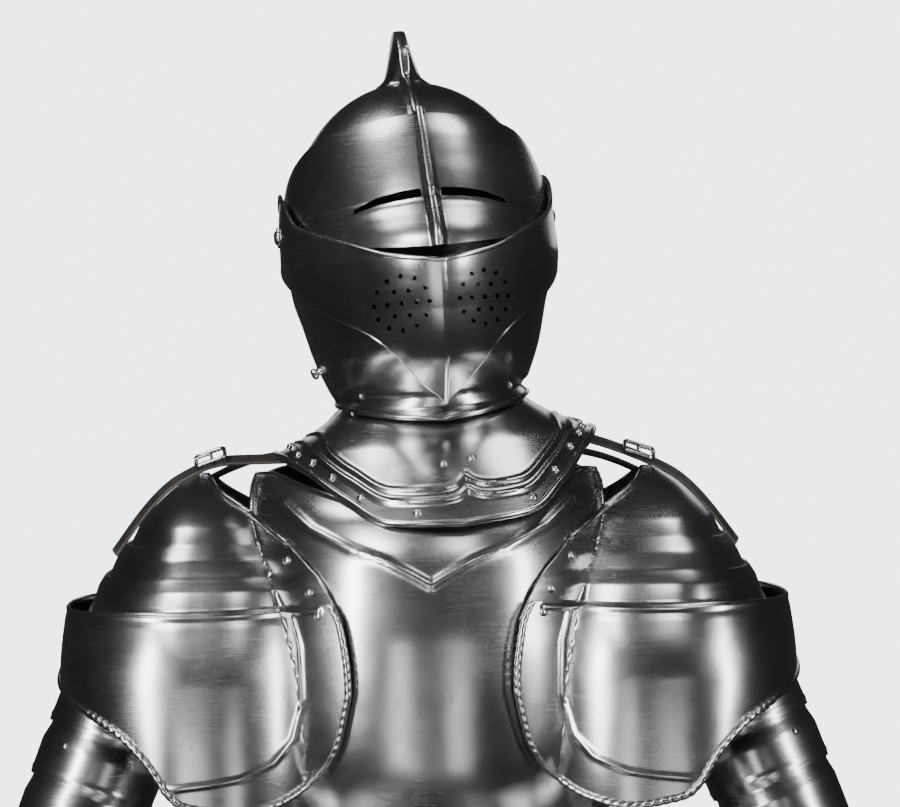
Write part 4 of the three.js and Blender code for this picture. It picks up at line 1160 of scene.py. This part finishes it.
def add_arm(side, name):
    upward = (SHOULDER - ELBOW).normalized()
    forward = (WRIST - ELBOW).normalized()
    upper_arm = frame_at(ELBOW, upward, forward)
    forearm = frame_at(ELBOW, forward, upward)
    elbow = frame_at(ELBOW, -(upward + forward), upward - forward)

    def finish(piece, label, node, matrix, edge=0.35):
        piece.make(f"{label}_{name}", "suit", "steel", STEEL, matrix, side, [f"{node}_{name}"], edge)

    for label, bottom, cover, top in (("1", 192, 260, 246), ("2", 146, 192, 202), ("3", 100, 146, 156)):
        lame = Piece()
        points, normals = patch(
            form_of(UPPER_ARM), rounds(96), fine(0, 1, 30), level(bottom), level(top), closed=True,
            push=lambda u, z: tucked_under(cover)(u, z) + 0.7 * bead(z - bottom, 6, 2),
        )
        lame.shell(points, normals, closed=True)
        for k in (20, 70):
            lame.rivet(points[16, k], normals[16, k], 3.0)
        finish(lame, f"arm_lame_{label}", f"upper_arm_lame_{label}", upper_arm)
    rerebrace = Piece()
    grid = patch(
        form_of(UPPER_ARM), rounds(96), fine(0, 1, 40), bend_cut(35, 35), level(110),
        push=tucked_under(100), closed=True,
    )
    rerebrace.shell(*grid, closed=True)
    finish(rerebrace, "rerebrace_plate", "rerebrace", upper_arm)

    def couter_edge(a):
        sides = np.sin(np.radians(a)) ** 2
        reach = 99 * sides + (1 - sides) * np.where(np.abs(a) < 90, 86.4, 92)
        return COUTER_RADIUS * np.cos(np.radians(reach))

    couter = Piece()
    points, normals = patch(
        sphere_form, rounds(120), crown(40), couter_edge, level(COUTER_RADIUS), closed=True,
        push=lambda u, z: 1.4 * bead(z, 10, 2.4) + 1.2 * bead(z, 30, 2.4),
    )
    couter.shell(points, normals, closed=True)
    couter.tube(points[0] + 0.4 * normals[0], 2.0, closed=True)
    tip = np.array([0, 0, COUTER_RADIUS - 0.6])
    couter.lathe(tip, (0, 0, 1), [(9, 0), (8.4, 1.4), (5, 3), (3, 5.4), (1, 6.6)])
    finish(couter, "couter_plate", "couter", elbow)

    vambrace = Piece()
    points, normals = patch(
        form_of(FOREARM), rounds(96), fine(0, 1, 60), bend_cut(36, 38), level(240), closed=True,
        push=lambda u, z: 0.9 * bead(z, 92, 2),
    )
    vambrace.shell(points, normals, closed=True)
    for up in (28, 44):
        vambrace.rivet(points[up, 24], normals[up, 24], 2.8)
    finish(vambrace, "vambrace_plate", "vambrace", forearm)

    cuff = Piece()
    points, normals = patch(
        form_of(CUFF), rounds(110), fine(0, 1, 60), level(132), level(260), closed=True,
        push=lambda u, z: 1.3 * bead(z, 146, 2.2),
    )
    cuff.shell(points, normals, closed=True)
    cuff.tube(points[0] + 0.5 * normals[0], 2.3, 12, closed=True, rope=0.13, pitch=7)
    for k in range(4, 110, 16):
        cuff.rivet(points[12, k], normals[12, k], 2.8)
    finish(cuff, "cuff_plate", "gauntlet_cuff", forearm)

    palm = Vector((forward.y, -forward.x, 0))
    hand_frame = frame_at(ELBOW, forward, palm)
    hand = Piece()
    grid = patch(
        form_of(HAND), fine(-95, 95, 80), fine(0, 1, 80), level(260.6), level(358.5), 180,
        push=lambda u, z: lamed(z, (260.6, 285, 303, 321, 339, 358.5), 0.9),
    )
    hand.shell(*grid)
    hand.rivets(grid, [(s, h) for h in (0.32, 0.5, 0.68, 0.86) for s in (0.07, 0.93)], 2.2)
    finish(hand, "hand_plate", "gauntlet_hand", hand_frame)

    up = palm.cross(forward).normalized()
    mitten_frame = frame_at(ELBOW + forward * 361, up, forward)
    mitten = Piece()
    knuckles = (-20, 0, 20)
    grid = patch(
        form_of(MITTEN), fine(-140, 94, 150), fine(0, 1, 60), level(-40), level(40),
        push=lambda u, z: (
            lamed(u, (-140, -105, -70, -35, 0, 35, 65, 94), 0.9)
            - 1.2 * sum(bead(z, k, 1.8) for k in knuckles)
        ),
    )
    mitten.shell(*grid)
    finish(mitten, "mitten_plate", "gauntlet_mitten", mitten_frame)

    root = ELBOW + up * 33.4 + palm.normalized() * 14.9
    thumb_form = form_of(table(SECTION, [(286, 15, 15, 15), (338, 12, 12, 12)]))
    thumb = Piece()
    grid = patch(
        thumb_form, rounds(40), fine(0, 1, 50), level(286), level(338), closed=True,
        push=lambda u, z: lamed(z, (286, 300, 313, 326, 338), 0.7),
    )
    thumb.shell(*grid, closed=True)
    finish(thumb, "thumb_plate", "gauntlet_thumb", frame_at(root, forward, palm))


# Straps and buckles
STRAP_Y = 10
STRAP_START = ((116, 1484, 1), (146, 1481, 0.7), (182, 1474, 0))
STRAP_LEVELS = (1456, 1446, 1434, 1420, 1404, 1392)
GORGET_RISE = 132 * math.sin(math.radians(HEAD_TILT))
STRAP_TWIST = math.radians(20)


def strap_ring(p, run, width, thick):
    flat_up = np.array([-run[2], 0, run[0]])
    flat_across = np.array([0, 1, 0])
    up = flat_up * math.cos(STRAP_TWIST) - flat_across * math.sin(STRAP_TWIST)
    across = flat_across * math.cos(STRAP_TWIST) + flat_up * math.sin(STRAP_TWIST)
    half, t, r = width / 2, thick / 2, 0.7
    shape = [(-half, -t + r), (-half + r, -t), (half - r, -t), (half, -t + r), (half, t - r), (half - r, t),
             (0, t + 0.25), (-half + r, t), (-half, t - r)]
    return np.array([p + across * a + up * b for a, b in shape])


def add_strap(side, name):
    free = [np.array([x, STRAP_Y, z + side * tilt * GORGET_RISE]) for x, z, tilt in STRAP_START]
    laid = []
    for z in STRAP_LEVELS:
        p = section_point(pauldron_form(np.array(float(z))), 90, float(z))
        rise = (1.25 + SEAT) * 1.1 + 1.8
        laid.append(np.array([p[0] + rise, STRAP_Y, z + rise]))
    path = smooth_path(rounded(np.array(free + laid)), 3)
    runs = unit(np.gradient(path, axis=0))
    strap = Piece().loft([strap_ring(p, run, 20, 2.5) for p, run in zip(path, runs)])
    holes = [int(len(path) * s) for s in (0.56, 0.64, 0.72, 0.8)]
    for k in holes:
        flat_up = np.array([-runs[k][2], 0, runs[k][0]])
        up = flat_up * math.cos(STRAP_TWIST) + np.array([0, -math.sin(STRAP_TWIST), 0])
        strap.lathe(path[k] + up * 1.1, up, [(2.2, 0), (2.2, 0.35), (1.5, 0.4), (1.4, 0.1)], 12)
    strap.make(f"shoulder_strap_{name}", "suit", "leather", LEATHER, IDENTITY, side, [f"strap_{name}"], 0)

    slope = math.radians(18)
    lean = Matrix.Rotation(STRAP_TWIST, 4, "X")
    turn = Matrix.Translation((186, STRAP_Y, 1477.4)) @ Matrix.Rotation(slope, 4, "Y") @ lean
    buckle = Piece()
    half_l, half_w, r = 13, 12, 4
    corners = []
    for cx, cy, start in ((half_l - r, half_w - r, 0), (-half_l + r, half_w - r, 90),
                          (-half_l + r, -half_w + r, 180), (half_l - r, -half_w + r, 270)):
        for a in np.radians(np.linspace(start, start + 90, 6)):
            corners.append((cx + r * math.cos(a), cy + r * math.sin(a), 0))
    buckle.tube(corners, 1.9, 12, closed=True)
    buckle.tube([(-1, y, 0) for y in fine(-half_w + 1, half_w - 1, 6)], 1.3)
    pin = [(x, 0, 1.9 + 0.9 * math.sin((x + 1) / 15 * math.pi)) for x in fine(-1, half_l + 1.2, 10)]
    buckle.tube(pin, 1.2)
    buckle.make(f"strap_buckle_{name}", "suit", "steel", FITTING_AND_HIGHLIGHT_STEEL, turn, side, [f"buckle_{name}"], 0)

    short = Piece()
    ends = np.array([(128, 26, 1478), (150, 27, 1474), (172, 26, 1466), (186, 24, 1459)], float)
    path = smooth_path(rounded(ends), 3)
    runs = unit(np.gradient(path, axis=0))
    short.loft([strap_ring(p, run, 14, 2.2) for p, run in zip(path, runs)])
    short.make(f"short_strap_{name}", "suit", "leather", LEATHER, IDENTITY, side, (), 0)


def rounded(path, passes=2):
    """Cuts the corners of a line, with its ends kept."""
    for _ in range(passes):
        q = path[:-1] * 0.75 + path[1:] * 0.25
        r = path[:-1] * 0.25 + path[1:] * 0.75
        path = np.concatenate([path[:1], np.stack([q, r], 1).reshape(-1, 3), path[-1:]])
    return path


add_skull()
add_lower_bevor()
add_upper_bevor()
add_visor()
add_neck()
add_gorget()
add_torso()
add_skirt()
for half_side, half_name in ((1, "left"), (-1, "right")):
    add_leg(half_side, half_name)
    add_pauldron(half_side, half_name)
    add_arm(half_side, half_name)
    add_strap(half_side, half_name)


# Stage, light and camera
def plain_material(name, colour, rough, glow=0.0):
    material, _, shader = node_material(name)
    shader.inputs["Base Color"].default_value = (*colour, 1)
    shader.inputs["Roughness"].default_value = rough
    shader.inputs["Emission Color"].default_value = (1, 1, 1, 1)
    shader.inputs["Emission Strength"].default_value = glow
    return material


def add_stage():
    """A round pale floor whose edge sweeps up into a wall on every side."""
    floor, sweep, height, turns = 10, 2, 14, 96
    profile = [(0.01, 0), (floor, 0)]
    profile += [
        (floor + sweep * math.sin(a), sweep - sweep * math.cos(a))
        for a in np.linspace(0.15, math.pi / 2, 10)
    ]
    profile += [(floor + sweep, height)]
    points, faces = [], []
    for radius, z in profile:
        for k in range(turns):
            a = 2 * math.pi * k / turns
            points.append((radius * math.cos(a), radius * math.sin(a), z))
    for j in range(len(profile) - 1):
        for k in range(turns):
            m = (k + 1) % turns
            faces.append((j * turns + k, j * turns + m, (j + 1) * turns + m, (j + 1) * turns + k))
    faces.append(tuple(range(turns)))
    mesh = bpy.data.meshes.new("backdrop")
    mesh.from_pydata(points, [], faces)
    mesh.shade_smooth()
    mesh.materials.append(plain_material("paper", (0.92, 0.92, 0.92), 0.9, 4.0))
    backdrop = bpy.data.objects.new("backdrop", mesh)
    bpy.context.scene.collection.objects.link(backdrop)
    backdrop.visible_glossy = False
    backdrop.visible_diffuse = False


def add_light(name, place, target, size, power):
    light = bpy.data.lights.new(name, "AREA")
    light.shape = "RECTANGLE"
    light.size, light.size_y = size
    light.energy = power
    lamp = bpy.data.objects.new(name, light)
    lamp.visible_camera = False
    lamp.location = place
    lamp.rotation_euler = (Vector(target) - Vector(place)).to_track_quat("-Z", "Y").to_euler()
    bpy.context.scene.collection.objects.link(lamp)


def add_world():
    world = bpy.data.worlds.new("studio")
    bpy.context.scene.world = world
    world.use_nodes = True
    background = world.node_tree.nodes["Background"]
    background.inputs["Color"].default_value = (0.5, 0.5, 0.5, 1)
    background.inputs["Strength"].default_value = 0.05


def add_camera():
    camera = bpy.data.cameras.new("camera")
    camera.lens = 88
    camera.sensor_width = 36
    rig = bpy.data.objects.new("camera", camera)
    bpy.context.scene.collection.objects.link(rig)
    target = Vector((0.022, SHIFT, 1.52))
    side, distance, lean = math.radians(1.5), 1.9, math.radians(-1)
    away = Vector((-math.sin(side), -math.cos(side), 0))
    rig.location = target + away * distance
    look = (target - rig.location).to_track_quat("-Z", "Y")
    roll = Matrix.Rotation(lean, 4, "Z")
    rig.rotation_euler = (look.to_matrix().to_4x4() @ roll).to_euler()
    bpy.context.scene.camera = rig


add_stage()
add_world()
add_light("key", (-1.7, -2.2, 1.9), (0, 0, 1.4), (0.42, 2.2), 76)
add_light("fill", (2.3, -1.9, 1.9), (0, 0, 1.4), (0.38, 2.2), 56)
add_light("brow_left", (-0.95, -1.55, 3.1), (0, 0, 1.6), (0.7, 0.5), 22)
add_light("brow_right", (0.5, -1.7, 3.1), (0, 0, 1.6), (0.3, 0.4), 4)
add_light("top_left", (-0.75, -0.1, 3.2), (0, 0, 1.4), (0.5, 0.5), 9)
add_light("top_right", (0.75, -0.1, 3.2), (0, 0, 1.4), (0.4, 0.5), 5)
add_light("low_left", (-0.5, -2.2, 0.6), (0, 0, 1.5), (0.35, 1.2), 4)
add_light("low_right", (0.45, -2.2, 0.6), (0, 0, 1.5), (0.3, 1.2), 2.5)
add_light("back", (0.3, 2.7, 2.2), (0, 0, 1.2), (2.2, 0.6), 6)
add_camera()
